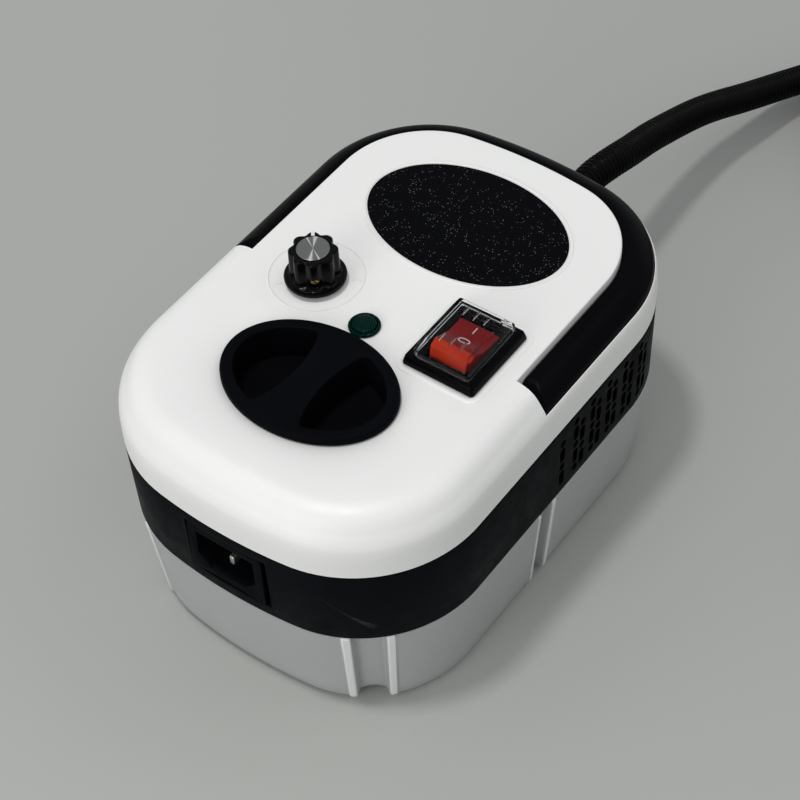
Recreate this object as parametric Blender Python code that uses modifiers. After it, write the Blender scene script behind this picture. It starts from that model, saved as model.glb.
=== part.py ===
"""Steam cleaner: a counter-top boiler unit with a water tank below, a ribbed hose and a steam gun.

Metres, +Z up. X runs across the case, -Y is the end with the mains inlet, +Y the end with the hose.
The origin is the middle of the tank's base, on the surface that it stands on.
"""
import math

import bmesh
import bpy
from mathutils import Matrix, Vector

# Case, from the outside in
CASE_WIDTH = 0.137
CASE_LENGTH = 0.195
CASE_CORNER_RADIUS = 0.0483
CASE_END_RADIUS = 0.2055
TANK_HEIGHT = 0.0424
BAND_HEIGHT = 0.0339
LID_RISE = 0.0247
CASE_WALL = 0.0022
BAND_DRAFT = 0.0008
FIT_GAP = 0.0003
OVERRUN = 0.004
MERGE = 0.00001

# Tank
TANK_WALL = 0.002
TANK_BASE_INSET = 0.0057
TANK_TOP_INSET = 0.0009
TANK_FOOT_ROUND = 0.003
FLUTE_ANGLE = math.radians(51.9)
FLUTE_HALF_ANGLE = math.radians(10.6)
FLUTE_DEPTH = 0.003
SIDE_FLUTE_Y = -0.007
SIDE_FLUTE_HALF = 0.005
FLUTE_STEP_SHARES = (-1, -0.8, -0.45, 0, 0.45, 0.8, 1)
STRIP_HALF_WIDTH = 0.036
STRIP_LENGTH = 0.010
STRIP_HEIGHT = 0.001
STRIP_Y = 0.066
SEAL_WIDTH = 0.002
SEAL_HEIGHT = 0.0025

# Lid, its raised panel and the channel that the handle folds into
LID_WALL = 0.0024
LIP_WIDTH = 0.0014
LIP_HEIGHT = 0.0027
PANEL_INSET = 0.0130
RIM_WALL = 0.0013
RIM_DROP = 0.0102
CHANNEL_FLOOR_DROP = 0.0180
CHANNEL_END_Y = -0.0069
CHANNEL_WALL = 0.0022
LABEL_Y = 0.0447
LABEL_HALF_WIDTH = 0.0390
LABEL_HALF_LENGTH = 0.0262
LABEL_RECESS = 0.0004

# Carrying handle
HANDLE_HEIGHT = 0.0137
HANDLE_SHOULDER_DROP = 0.0067
PIVOT_Y = 0.0012
PIVOT_DROP = 0.0100
PIVOT_PIN_RADIUS = 0.0025
PIVOT_HEAD_RADIUS = 0.004
PIVOT_HEAD_LENGTH = 0.002
ARM_END_RADIUS = 0.0076

# Filler cap and neck
FILLER_Y = -0.0458
CAP_HALF_WIDTH = 0.0327
CAP_HALF_LENGTH = 0.0241
CAP_THICKNESS = 0.0030
CAP_CHAMFER = 0.0009
CAP_RIM = 0.0045
CAP_PLUG_WALL = 0.0014
CAP_PLUG_DEPTH = 0.0125
CAP_FLOOR = 0.0016
GRIP_WAIST_HALF = 0.0058
GRIP_FLARE = 0.0030
NECK_WALL = 0.0016
NECK_FLANGE = 0.0030
NECK_CUP_DEPTH = 0.0150
SPOUT_RADIUS = 0.0150
SPOUT_TOP_DEPTH = 0.0240
GASKET_HEIGHT = 0.0022

# Control knob and its potentiometer
KNOB_X = -0.0274
KNOB_Y = -0.0066
SKIRT_RADIUS = 0.0109
SKIRT_HEIGHT = 0.0022
GRIP_RADIUS = 0.0087
GRIP_DEPTH = 0.0014
GRIP_FLUTES = 8
KNOB_HEIGHT = 0.0146
KNOB_LIFT = 0.0005
INSERT_RADIUS = 0.0062
INSERT_HEIGHT = 0.0008
SHAFT_RADIUS = 0.003
SHAFT_RISE = 0.0105
SET_SCREW_RADIUS = 0.0015
SET_SCREW_LENGTH = 0.0040
SET_SCREW_RISE = 0.0060
SET_SCREW_AZIMUTH = math.radians(-52)
POT_RADIUS = 0.0085
POT_HEIGHT = 0.009
POT_BUSH_RADIUS = 0.0045

# Pilot lamp
LAMP_X = -0.0004
LAMP_Y = -0.0150
LAMP_RADIUS = 0.0056
LAMP_NECK_RADIUS = 0.0040
LAMP_DOME = 0.0020
LAMP_NECK = 0.0080
LAMP_BODY_LENGTH = 0.0110

# Rocker switch
SWITCH_X = 0.0339
SWITCH_Y = -0.0053
SWITCH_WIDTH = 0.0284
SWITCH_LENGTH = 0.0325
SWITCH_FRAME_HEIGHT = 0.0036
SWITCH_FRAME_TAPER = 0.0016
SWITCH_BODY_WIDTH = 0.0215
SWITCH_BODY_LENGTH = 0.0280
SWITCH_BODY_DEPTH = 0.0200
SWITCH_CAVITY_DEPTH = 0.0060
ROCKER_WIDTH = 0.0152
ROCKER_LENGTH = 0.0196
ROCKER_TILT = math.radians(14)
ROCKER_END_RISE = 0.0055
ROCKER_MID_RISE = 0.0040
ROCKER_DEPTH = 0.0026
ROCKER_PIVOT_RISE = 0.0006
DOME_WIDTH = 0.0216
DOME_LENGTH = 0.0284
DOME_TOP_WIDTH = 0.0190
DOME_TOP_LENGTH = 0.0224
DOME_SHOULDER = 0.0026
DOME_HEIGHT = 0.0068
DOME_WALL = 0.0008
BLADE_WIDTH = 0.0063
BLADE_THICKNESS = 0.0008
BLADE_LENGTH = 0.008

# Mains inlet, a C14 socket
INLET_FLANGE_WIDTH = 0.0315
INLET_FLANGE_HEIGHT = 0.0240
INLET_FLANGE_DEPTH = 0.0020
INLET_RECESS = 0.0011
INLET_BODY_WIDTH = 0.0270
INLET_BODY_HEIGHT = 0.0198
INLET_BODY_DEPTH = 0.0215
INLET_CAVITY_WIDTH = 0.0242
INLET_CAVITY_HEIGHT = 0.0163
INLET_CAVITY_DEPTH = 0.0165
INLET_CHAMFER = 0.0050
INLET_POCKET_SLACK = 0.0022
INLET_PAD = 0.0030
INLET_PIN_SPACING = 0.007
INLET_PIN_OFFSET = 0.0020
INLET_PIN_WIDTH = 0.0020
INLET_PIN_HEIGHT = 0.0040
INLET_PIN_TIP = 0.0028
INLET_PIN_TAIL = 0.0060

# Air slots in the two sides of the band
SLOT_WIDTH = 0.0026
SLOT_FIRST_Y = 0.0024
SLOT_GROUP_PITCH = 0.0104
SLOT_GROUPS = 5
SLOT_COLUMN_HALF = 0.0020
SLOT_LONG = 0.0080
SLOT_SHORT = 0.0032
SLOT_BRIDGE = 0.0014
SLOT_LOWEST = 0.0040
SLOT_STAGGER = 0.0012
SLOT_WALL_REACH = 0.0060

# Hose, its gland and the coil
HOSE_RADIUS = 0.00625
HOSE_BORE_RADIUS = 0.0040
RIB_PITCH = 0.0025
RIB_DEPTH = 0.0006
COIL_CENTRE = (0.104, 0.287)
COIL_INNER_RADIUS = 0.055
COIL_START = math.radians(150)
COIL_TURNS = 2.4333
COIL_CLEARANCE = 0.00045
COIL_STEPS = 24
TIE_THICKNESS = 0.0008
TIE_WIDTH = 0.008
TIE_SLACK = 0.0008
GLAND_END_Y = 0.115
GLAND_RADIUS = 0.0098
GLAND_NUT_RADIUS = 0.0112
GLAND_FLANGE = 0.0025
GLAND_THREAD_RADIUS = 0.0072
GLAND_NUT_LENGTH = 0.005
HOSE_ROUTE = [
    (0.0, 0.1153, 0.05935),
    (0.0, 0.1278, 0.05935),
    (0.0006, 0.1383, 0.0577),
    (0.0010, 0.1456, 0.0560),
    (0.0010, 0.1535, 0.0535),
    (0.0008, 0.1615, 0.0510),
    (0.0006, 0.1696, 0.0483),
    (0.0005, 0.1776, 0.0453),
    (0.0010, 0.1928, 0.0400),
    (0.0021, 0.2072, 0.0350),
    (0.0041, 0.2206, 0.0300),
    (0.0069, 0.2330, 0.0255),
    (0.0096, 0.2458, 0.0210),
    (0.0125, 0.2583, 0.0170),
    (0.0158, 0.2700, 0.0136),
    (0.0200, 0.2815, 0.0112),
    (0.0252, 0.2923, 0.0094),
    (0.0308, 0.3020, 0.0083),
]

# Steam gun, an in-line grip; lengths run forward from its hose end
GUN_RUN = 0.0440
GUN_RELIEF_LENGTH = 0.020
GUN_RELIEF_RADIUS = 0.0085
GUN_LENGTH = 0.128
GUN_HALF_THICKNESS = 0.0140
GUN_WALL = 0.0020
GUN_HALF_WIDTH = 0.0160
GUN_WIDTH_SHARES = (
    (0.0, 0.60), (0.08, 0.80), (0.25, 0.95), (0.45, 1.0), (0.62, 0.86), (0.80, 0.84), (0.93, 0.72),
    (1.0, 0.46),
)
GUN_EDGE_ROUND = 0.0055
TRIGGER_START_SHARE = 0.36
TRIGGER_END_SHARE = 0.72
TRIGGER_THICKNESS = 0.0090
TRIGGER_STAND = 0.0085
TRIGGER_ROOT = 0.0040
TRIGGER_PIVOT_RADIUS = 0.0020
TRIGGER_CLEARANCE = 0.0022
SPRING_RADIUS = 0.0028
SPRING_WIRE_RADIUS = 0.0004
SPRING_STEPS = 8
STEAM_TUBE_RADIUS = 0.0025
VALVE_RADIUS = 0.0055
VALVE_LENGTH = 0.022
COLLAR_RADIUS = 0.0072
COLLAR_LENGTH = 0.010
NOZZLE_RADIUS = 0.0045
NOZZLE_TIP_RADIUS = 0.0022
NOZZLE_LENGTH = 0.022
NOZZLE_BORE_RADIUS = 0.0010

# Inside the case
PUMP_X = -0.040
PUMP_START_Y = 0.006
PUMP_COIL_LENGTH = 0.034
PUMP_COIL_SIZE = 0.030
PUMP_BARREL_RADIUS = 0.0095
PUMP_NOSE_LENGTH = 0.014
PUMP_TAIL_LENGTH = 0.012
PUMP_TIP_RADIUS = 0.0035
PUMP_TIP_LENGTH = 0.006
MOUNT_HEIGHT = 0.0040
BOILER_X = 0.020
BOILER_START_Y = 0.018
BOILER_LENGTH = 0.058
BOILER_WIDTH = 0.060
BOILER_HEIGHT = 0.026
BOILER_ROUND = 0.006
BOILER_STUD_RADIUS = 0.0035
BOILER_STUD_HEIGHT = 0.0062
HEATER_PIN_RADIUS = 0.0035
HEATER_PIN_LENGTH = 0.010
HEATER_SPACING = 0.036
DISC_RADIUS = 0.0080
DISC_HEIGHT = 0.0050
VALVE_STEM_RADIUS = 0.0020
BOARD_LENGTH = 0.046
BOARD_WIDTH = 0.028
BOARD_THICKNESS = 0.0016
BOARD_X = -0.037
BOARD_Y = -0.050
BOARD_LIFT = 0.008
PIPE_RADIUS = 0.003
SUCTION_RADIUS = 0.0035
STRAINER_RADIUS = 0.006
STRAINER_LENGTH = 0.012
STRAINER_LIFT = 0.004
SCREW_RADIUS = 0.0015
SCREW_HEAD_RADIUS = 0.003
SCREW_HEAD_HEIGHT = 0.002
SCREW_LENGTH = 0.009
BOSS_RADIUS = 0.0035
BOSS_X = 0.0560
BOSS_Y = 0.0560
WIRE_RADIUS = 0.0011

ROUND_SIDES = 16
SMALL_SIDES = 12

BAND_TOP = TANK_HEIGHT + BAND_HEIGHT
BAND_MIDDLE = TANK_HEIGHT + BAND_HEIGHT / 2
PANEL_TOP = BAND_TOP + LID_RISE
PANEL_UNDER = PANEL_TOP - LID_WALL
FLOOR_TOP = TANK_HEIGHT + CASE_WALL
CHANNEL_FLOOR = PANEL_TOP - CHANNEL_FLOOR_DROP
HANDLE_LOW = CHANNEL_FLOOR + FIT_GAP + CAP_FLOOR
PIVOT_Z = PANEL_TOP - PIVOT_DROP
HALF_WIDTH = CASE_WIDTH / 2
HALF_LENGTH = CASE_LENGTH / 2
CORNER_X = HALF_WIDTH - CASE_CORNER_RADIUS
END_CENTRE_Y = HALF_LENGTH - CASE_END_RADIUS
CORNER_Y = END_CENTRE_Y + math.sqrt((CASE_END_RADIUS - CASE_CORNER_RADIUS) ** 2 - CORNER_X**2)
CORNER_SWEEP = math.atan2(CORNER_Y - END_CENTRE_Y, CORNER_X)

FINISHES = {
    "white_shell": ((0.86, 0.86, 0.84), 0.45, 0.0, 1.0),
    "black_plastic": ((0.018, 0.019, 0.022), 0.45, 0.0, 1.0),
    "black_gloss": ((0.010, 0.010, 0.012), 0.15, 0.0, 1.0),
    "frosted_plastic": ((0.70, 0.74, 0.76), 0.35, 0.0, 0.6),
    "rubber": ((0.03, 0.03, 0.03), 0.8, 0.0, 1.0),
    "silicone": ((0.75, 0.75, 0.72), 0.4, 0.0, 0.8),
    "label_film": ((0.012, 0.012, 0.014), 0.3, 0.0, 1.0),
    "aluminium": ((0.78, 0.78, 0.79), 0.3, 1.0, 1.0),
    "brass": ((0.72, 0.55, 0.26), 0.3, 1.0, 1.0),
    "steel": ((0.6, 0.6, 0.6), 0.3, 1.0, 1.0),
    "green_lens": ((0.0, 0.16, 0.09), 0.15, 0.0, 0.9),
    "red_rocker": ((0.62, 0.05, 0.02), 0.2, 0.0, 1.0),
    "clear_plastic": ((0.85, 0.86, 0.86), 0.05, 0.0, 0.3),
    "board": ((0.05, 0.22, 0.09), 0.5, 0.0, 1.0),
    "wire_red": ((0.5, 0.03, 0.02), 0.5, 0.0, 1.0),
}


def start_scene():
    for obj in list(bpy.data.objects):
        bpy.data.objects.remove(obj)
    for name in ("steam_cleaner", "cutters"):
        group = bpy.data.collections.new(name)
        bpy.context.scene.collection.children.link(group)


def finish(name):
    """Material of one finish, made once."""
    known = bpy.data.materials.get(name)
    if known:
        return known
    colour, roughness, metallic, alpha = FINISHES[name]
    material = bpy.data.materials.new(name)
    material.use_nodes = True
    shader = material.node_tree.nodes["Principled BSDF"]
    shader.inputs["Base Color"].default_value = (*colour, 1.0)
    shader.inputs["Roughness"].default_value = roughness
    shader.inputs["Metallic"].default_value = metallic
    shader.inputs["Alpha"].default_value = alpha
    return material


def place(obj, finish_name):
    """Link an object among the parts, or among the cutters when it has no finish."""
    if finish_name:
        bpy.data.collections["steam_cleaner"].objects.link(obj)
        own = finish(finish_name).copy()
        own.name = f"{obj.name}_{finish_name}"
        obj.data.materials.append(own)
    else:
        bpy.data.collections["cutters"].objects.link(obj)
        obj.hide_render = True
        obj.display_type = "WIRE"
    return obj


def from_bmesh(name, shape, finish_name, round_shape=True):
    bmesh.ops.remove_doubles(shape, verts=shape.verts, dist=MERGE)
    bmesh.ops.recalc_face_normals(shape, faces=shape.faces)
    mesh = bpy.data.meshes.new(name)
    shape.to_mesh(mesh)
    shape.free()
    if round_shape:
        mesh.shade_smooth()
        mesh.set_sharp_from_angle(angle=math.radians(35))
    return place(bpy.data.objects.new(name, mesh), finish_name)


def from_curve(name, curve, finish_name, turn=None):
    """Closed mesh of a curve, with its caps welded."""
    guide = bpy.data.objects.new(f"{name}_curve", curve)
    bpy.context.scene.collection.objects.link(guide)
    settled = guide.evaluated_get(bpy.context.evaluated_depsgraph_get())
    mesh = bpy.data.meshes.new_from_object(settled)
    bpy.data.objects.remove(guide)
    shape = bmesh.new()
    shape.from_mesh(mesh)
    bpy.data.meshes.remove(mesh)
    if turn:
        bmesh.ops.transform(shape, matrix=turn, verts=shape.verts)
    return from_bmesh(name, shape, finish_name)


def block(name, low, high, finish_name=None, rounding=0.0):
    """Box between two corners, with rounded edges if asked."""
    low, high = Vector(low), Vector(high)
    shape = bmesh.new()
    bmesh.ops.create_cube(shape, size=1)
    bmesh.ops.scale(shape, vec=high - low, verts=shape.verts)
    bmesh.ops.translate(shape, vec=(low + high) / 2, verts=shape.verts)
    obj = from_bmesh(name, shape, finish_name, round_shape=False)
    if rounding:
        bevel = obj.modifiers.new("rounded_edges", "BEVEL")
        bevel.width = rounding
        bevel.segments = 2
    return obj


def rod(name, radius, start, end, finish_name=None, sides=ROUND_SIDES, end_radius=None):
    """Round bar, or a cone when the end radius differs."""
    start, end = Vector(start), Vector(end)
    shape = bmesh.new()
    bmesh.ops.create_cone(
        shape, cap_ends=True, segments=sides, radius1=radius, radius2=end_radius or radius,
        depth=(end - start).length,
    )
    turn = (end - start).to_track_quat("Z", "Y").to_matrix().to_4x4()
    bmesh.ops.transform(shape, matrix=Matrix.Translation((start + end) / 2) @ turn, verts=shape.verts)
    return from_bmesh(name, shape, finish_name)


def turned(name, profile, base, axis, finish_name=None, sides=ROUND_SIDES):
    """Turned shape; the profile's (radius, height) points run down its outer side."""
    mesh = bpy.data.meshes.new(name)
    ring = profile[0][0] > 0
    edges = [(i, i + 1) for i in range(len(profile) - 1)]
    if ring:
        edges.append((len(profile) - 1, 0))
    mesh.from_pydata([(radius, 0, height) for radius, height in profile], edges, [])
    obj = place(bpy.data.objects.new(name, mesh), finish_name)
    obj.location = base
    obj.rotation_mode = "QUATERNION"
    obj.rotation_quaternion = Vector(axis).to_track_quat("Z", "Y")
    screw = obj.modifiers.new("turned", "SCREW")
    screw.steps = sides
    screw.render_steps = sides
    screw.use_merge_vertices = True
    screw.merge_threshold = MERGE
    screw.use_smooth_shade = True
    return obj


def plate(name, outline, low, high, finish_name=None, plane="XY"):
    """Flat outline given a thickness from low to high along the plane's third axis."""
    curve = bpy.data.curves.new(name, "CURVE")
    curve.dimensions = "2D"
    curve.fill_mode = "BOTH"
    curve.extrude = (high - low) / 2
    spline = curve.splines.new("POLY")
    spline.points.add(len(outline) - 1)
    for point, (u, v) in zip(spline.points, outline, strict=True):
        point.co = (u, v, 0, 1)
    spline.use_cyclic_u = True
    lift = Matrix.Translation((0, 0, (low + high) / 2))
    turns = {
        "XY": Matrix.Identity(4),
        "YZ": Matrix(((0, 0, 1, 0), (1, 0, 0, 0), (0, 1, 0, 0), (0, 0, 0, 1))),
        "XZ": Matrix(((1, 0, 0, 0), (0, 0, 1, 0), (0, 1, 0, 0), (0, 0, 0, 1))),
    }
    return from_curve(name, curve, finish_name, turns[plane] @ lift)


def tube(name, points, radius, finish_name=None, resolution=2, radii=None):
    """Round tube along points, with filled ends and an optional radius share at each point."""
    curve = bpy.data.curves.new(name, "CURVE")
    curve.dimensions = "3D"
    curve.bevel_depth = radius
    curve.bevel_resolution = resolution
    curve.use_fill_caps = True
    spline = curve.splines.new("POLY")
    spline.points.add(len(points) - 1)
    for index, place_at in enumerate(points):
        spline.points[index].co = (*place_at, 1)
        spline.points[index].radius = radii[index] if radii else 1.0
    return from_curve(name, curve, finish_name)


def combine(target, other, operation):
    change = target.modifiers.new(f"{operation.lower()}_{other.name}"[:60], "BOOLEAN")
    change.operation = operation
    change.solver = "EXACT"
    change.object = other


def cut(target, *cutters):
    for cutter in cutters:
        combine(target, cutter, "DIFFERENCE")


def unite(target, *others):
    for other in others:
        combine(target, other, "UNION")


def weld(target):
    """Join points that a cut has left on top of each other."""
    change = target.modifiers.new("weld", "WELD")
    change.merge_threshold = 2 * MERGE


def seat_origin(obj, point):
    """Put an object's origin on its joint's axis without moving its shape."""
    obj.data.transform(Matrix.Translation(-Vector(point)))
    obj.location = point


def joint_empty(name, location, turn=0.0):
    empty = bpy.data.objects.new(name, None)
    bpy.data.collections["steam_cleaner"].objects.link(empty)
    empty.location = location
    empty.rotation_euler.z = turn
    return empty


def hang(parent, *children):
    """Parent pieces to a joint's empty and keep them where they are."""
    bpy.context.view_layer.update()
    for child in children:
        child.parent = parent
        child.matrix_parent_inverse = parent.matrix_world.inverted()


def outline_station(normal_angle, sign_x, sign_y, extra=0.0):
    """Point and outward normal on the case outline; the angle runs from a side to an end's middle."""
    cosine, sine = math.cos(normal_angle), math.sin(normal_angle)
    if normal_angle <= CORNER_SWEEP:
        x, y = CORNER_X + CASE_CORNER_RADIUS * cosine, CORNER_Y + CASE_CORNER_RADIUS * sine
    else:
        x, y = CASE_END_RADIUS * cosine, END_CENTRE_Y + CASE_END_RADIUS * sine
    return (sign_x * x, sign_y * y, sign_x * cosine, sign_y * sine, extra)


def side_station(sign_x, y, extra=0.0):
    return (sign_x * HALF_WIDTH, y, sign_x, 0.0, extra)


def corner_angles(steps=6, end_steps=2):
    bend = [CORNER_SWEEP * i / steps for i in range(steps + 1)]
    end = [CORNER_SWEEP + (math.pi / 2 - CORNER_SWEEP) * (i + 1) / end_steps for i in range(end_steps)]
    return bend + end


def loop_stations():
    """Stations right round the case, anticlockwise from the rear end of the right side."""
    quarter = [(angle, 0.0) for angle in corner_angles()]
    return four_quarters(quarter, [])


def four_quarters(quarter, side_steps):
    """Mirror one quarter's (angle, extra) steps to all corners; side steps run rearward."""
    back = list(reversed(quarter[:-1]))
    loop = [outline_station(a, 1, 1, e) for a, e in quarter]
    loop += [outline_station(a, -1, 1, e) for a, e in back]
    loop += [side_station(-1, y, e) for y, e in reversed(side_steps)]
    loop += [outline_station(a, -1, -1, e) for a, e in quarter]
    loop += [outline_station(a, 1, -1, e) for a, e in back]
    loop += [side_station(1, y, e) for y, e in side_steps]
    return loop


def tank_stations():
    """The case outline with a hollow flute at each corner and in the middle of each side."""
    start, end = FLUTE_ANGLE - FLUTE_HALF_ANGLE, FLUTE_ANGLE + FLUTE_HALF_ANGLE
    plain = [(start * i / 3, 0.0) for i in range(3)]
    fluted = [
        (FLUTE_ANGLE + share * FLUTE_HALF_ANGLE, FLUTE_DEPTH * (1 - share**2)) for share in FLUTE_STEP_SHARES
    ]
    rest = [((end + CORNER_SWEEP) / 2, 0.0), (CORNER_SWEEP, 0.0)]
    rest += [((CORNER_SWEEP + math.pi / 2) / 2, 0.0), (math.pi / 2, 0.0)]
    side = [
        (SIDE_FLUTE_Y + share * SIDE_FLUTE_HALF, FLUTE_DEPTH * (1 - share**4)) for share in FLUTE_STEP_SHARES
    ]
    return four_quarters(plain + fluted + rest, side)


def rear_stations(from_y):
    """Stations from the right side round the rear end to the left side."""
    angles = corner_angles()
    right = [side_station(1, from_y)] + [outline_station(a, 1, 1) for a in angles]
    left = [outline_station(a, -1, 1) for a in reversed(angles[:-1])] + [side_station(-1, from_y)]
    return right + left


def sweep(name, stations, profile, finish_name=None, closed_path=True, closed_profile=False):
    """Carry a profile of (inset, height) points along stations; open ends are capped."""
    shape = bmesh.new()
    rings = [
        [shape.verts.new((x - nx * (inset + e), y - ny * (inset + e), z)) for x, y, nx, ny, e in stations]
        for inset, z in profile
    ]
    around = range(len(stations)) if closed_path else range(len(stations) - 1)
    along = range(len(profile)) if closed_profile else range(len(profile) - 1)
    for j in along:
        low, high = rings[j], rings[(j + 1) % len(profile)]
        for i in around:
            k = (i + 1) % len(stations)
            shape.faces.new((low[i], low[k], high[k], high[i]))
    if not closed_profile:
        shape.faces.new(rings[0])
        shape.faces.new(rings[-1])
    if not closed_path:
        shape.faces.new([ring[0] for ring in rings])
        shape.faces.new([ring[-1] for ring in rings])
    return from_bmesh(name, shape, finish_name)


def rounded_rectangle(centre_x, centre_y, width, length, radius, steps=3):
    points = []
    for quadrant, (sx, sy) in enumerate(((1, 1), (-1, 1), (-1, -1), (1, -1))):
        for i in range(steps + 1):
            angle = math.pi / 2 * (quadrant + i / steps)
            x = centre_x + sx * (width / 2 - radius) + radius * math.cos(angle)
            points.append((x, centre_y + sy * (length / 2 - radius) + radius * math.sin(angle)))
    return points


def stacked(name, rings, finish_name=None):
    """Solid through a stack of outlines with the same number of points: (outline, height) pairs."""
    shape = bmesh.new()
    levels = [[shape.verts.new((x, y, z)) for x, y in outline] for outline, z in rings]
    for low, high in zip(levels, levels[1:], strict=False):
        for i in range(len(low)):
            k = (i + 1) % len(low)
            shape.faces.new((low[i], low[k], high[k], high[i]))
    shape.faces.new(levels[0])
    shape.faces.new(levels[-1])
    return from_bmesh(name, shape, finish_name)


def smooth_line(points, spacing):
    """Evenly spaced points on a smooth curve through the given ones."""
    given = [Vector(p) for p in points]
    padded = [given[0] * 2 - given[1], *given, given[-1] * 2 - given[-2]]
    fine = []
    for a, b, c, d in zip(padded, padded[1:], padded[2:], padded[3:], strict=False):
        for i in range(12):
            t = i / 12
            fine.append(
                0.5 * (
                    2 * b + (c - a) * t + (2 * a - 5 * b + 4 * c - d) * t**2 + (3 * b - a - 3 * c + d) * t**3
                )
            )
    fine.append(given[-1])
    lengths = [0.0]
    for a, b in zip(fine, fine[1:], strict=False):
        lengths.append(lengths[-1] + (b - a).length)
    count = round(lengths[-1] / spacing)
    even, at = [], 0
    for i in range(count + 1):
        target = lengths[-1] * i / count
        while at < len(fine) - 2 and lengths[at + 1] < target:
            at += 1
        share = (target - lengths[at]) / (lengths[at + 1] - lengths[at])
        even.append(fine[at].lerp(fine[at + 1], share))
    return even


def path_length(points):
    return sum((Vector(b) - Vector(a)).length for a, b in zip(points, points[1:], strict=False))


def coil_line():
    """The coil's centre line: in along one layer, up, and out along the next, then off to the gun."""
    pitch = 2 * HOSE_RADIUS + COIL_CLEARANCE
    low = HOSE_RADIUS + TIE_SLACK + TIE_THICKNESS
    middle = COIL_TURNS / 2
    steps = round(COIL_TURNS * COIL_STEPS)
    line = []
    for i in range(steps + 1):
        turns = COIL_TURNS * i / steps
        angle = COIL_START - 2 * math.pi * turns
        radius = COIL_INNER_RADIUS + pitch * abs(turns - middle)
        climb = min(max((turns - middle) / 0.5 + 0.5, 0), 1)
        rise = (1 - math.cos(math.pi * climb)) / 2
        line.append(
            Vector((
                COIL_CENTRE[0] + radius * math.cos(angle),
                COIL_CENTRE[1] + radius * math.sin(angle),
                low + pitch * rise,
            ))
        )
    return line


def least_gap(line, radius):
    """Least gap between stretches of a tube that aren't neighbours."""
    apart = math.ceil(4 * radius / (line[1] - line[0]).length) + 1
    gaps = [(a - b).length for i, a in enumerate(line) for b in line[i + apart:]]
    return min(gaps) - 2 * radius


def gun_start():
    """Where the coil's last turn ends and the direction in which the hose leaves it."""
    line = coil_line()
    angle = COIL_START - 2 * math.pi * COIL_TURNS
    return line[-1], Vector((math.sin(angle), -math.cos(angle), 0))


def ovals(name, rings, centre, finish_name=None, closed=False, steps=28):
    """Loft through level ovals given as (half width, half length, height)."""
    shape = bmesh.new()
    levels = []
    for half_width, half_length, height in rings:
        angles = [2 * math.pi * i / steps for i in range(steps)]
        levels.append([
            shape.verts.new(
                (centre[0] + half_width * math.cos(a), centre[1] + half_length * math.sin(a), height)
            )
            for a in angles
        ])
    pairs = list(zip(levels, levels[1:], strict=False))
    if closed:
        pairs.append((levels[-1], levels[0]))
    else:
        shape.faces.new(levels[0])
        shape.faces.new(levels[-1])
    for low, high in pairs:
        for i in range(steps):
            k = (i + 1) % steps
            shape.faces.new((low[i], low[k], high[k], high[i]))
    return from_bmesh(name, shape, finish_name)


def make_water_tank():
    stations = tank_stations()
    foot = TANK_FOOT_ROUND
    profile = [
        (TANK_BASE_INSET + foot, 0),
        (TANK_BASE_INSET + foot * 0.27, foot * 0.23),
        (TANK_BASE_INSET, foot),
        (TANK_TOP_INSET, TANK_HEIGHT - FIT_GAP),
        (TANK_TOP_INSET + TANK_WALL, TANK_HEIGHT - FIT_GAP),
        (TANK_BASE_INSET + TANK_WALL, foot + TANK_WALL),
        (TANK_BASE_INSET + foot + TANK_WALL, TANK_WALL),
    ]
    tank = sweep("water_tank", stations, profile, "frosted_plastic")
    for side in (-1, 1):
        pocket_top = STRIP_HEIGHT + FIT_GAP
        cut(tank, base_strip("strip_pocket", side, FIT_GAP, -OVERRUN, pocket_top, None))
        name = "base_strip_rear" if side > 0 else "base_strip_front"
        base_strip(name, side, 0, 0, STRIP_HEIGHT, "rubber")
    top = TANK_HEIGHT - FIT_GAP
    inner = TANK_TOP_INSET + TANK_WALL + FLUTE_DEPTH + 2 * FIT_GAP
    seal = [
        (inner, top - SEAL_HEIGHT), (inner, top), (inner + SEAL_WIDTH, top),
        (inner + SEAL_WIDTH, top - SEAL_HEIGHT),
    ]
    sweep("tank_seal", loop_stations(), seal, "silicone", closed_profile=True)


def base_strip(name, side, margin, low, high, finish_name):
    """Long anti-slip strip with round ends, or its pocket when it has a margin."""
    width = 2 * (STRIP_HALF_WIDTH + margin)
    length = STRIP_LENGTH + 2 * margin
    outline = rounded_rectangle(0, side * STRIP_Y, width, length, length / 2 - margin, steps=4)
    return plate(name, outline, low, high, finish_name)


def slot_columns():
    """Rearward places of the columns of air slots, and how far each column is raised."""
    columns = [(SLOT_FIRST_Y, 0.0)]
    for group in range(SLOT_GROUPS):
        middle = SLOT_FIRST_Y + SLOT_GROUP_PITCH * (group + 1)
        columns.append((middle - SLOT_COLUMN_HALF, 0.0))
        columns.append((middle + SLOT_COLUMN_HALF, SLOT_STAGGER))
    return columns


def slot_cutter(side):
    """All the air slots of one side as separate prisms in one cutter."""
    shape = bmesh.new()
    outside = side * (HALF_WIDTH + OVERRUN)
    inside = side * (HALF_WIDTH - SLOT_WALL_REACH)
    half = SLOT_WIDTH / 2
    for y, raised in slot_columns():
        low = TANK_HEIGHT + SLOT_LOWEST + raised
        for length in (SLOT_SHORT, SLOT_LONG, SLOT_SHORT, SLOT_LONG):
            high = low + length
            outline = [(y - half, low), (y + half, low), (y + half, high), (y - half, high)]
            near = [shape.verts.new((outside, v, w)) for v, w in outline]
            far = [shape.verts.new((inside, v, w)) for v, w in outline]
            shape.faces.new(near)
            shape.faces.new(far)
            for i in range(len(outline)):
                k = (i + 1) % len(outline)
                shape.faces.new((near[i], near[k], far[k], far[i]))
            low = high + SLOT_BRIDGE
    return from_bmesh(f"air_slots_{'right' if side > 0 else 'left'}", shape, None, round_shape=False)


def boss_places():
    return [(sx * BOSS_X, sy * BOSS_Y) for sx in (-1, 1) for sy in (-1, 1)]


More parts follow.
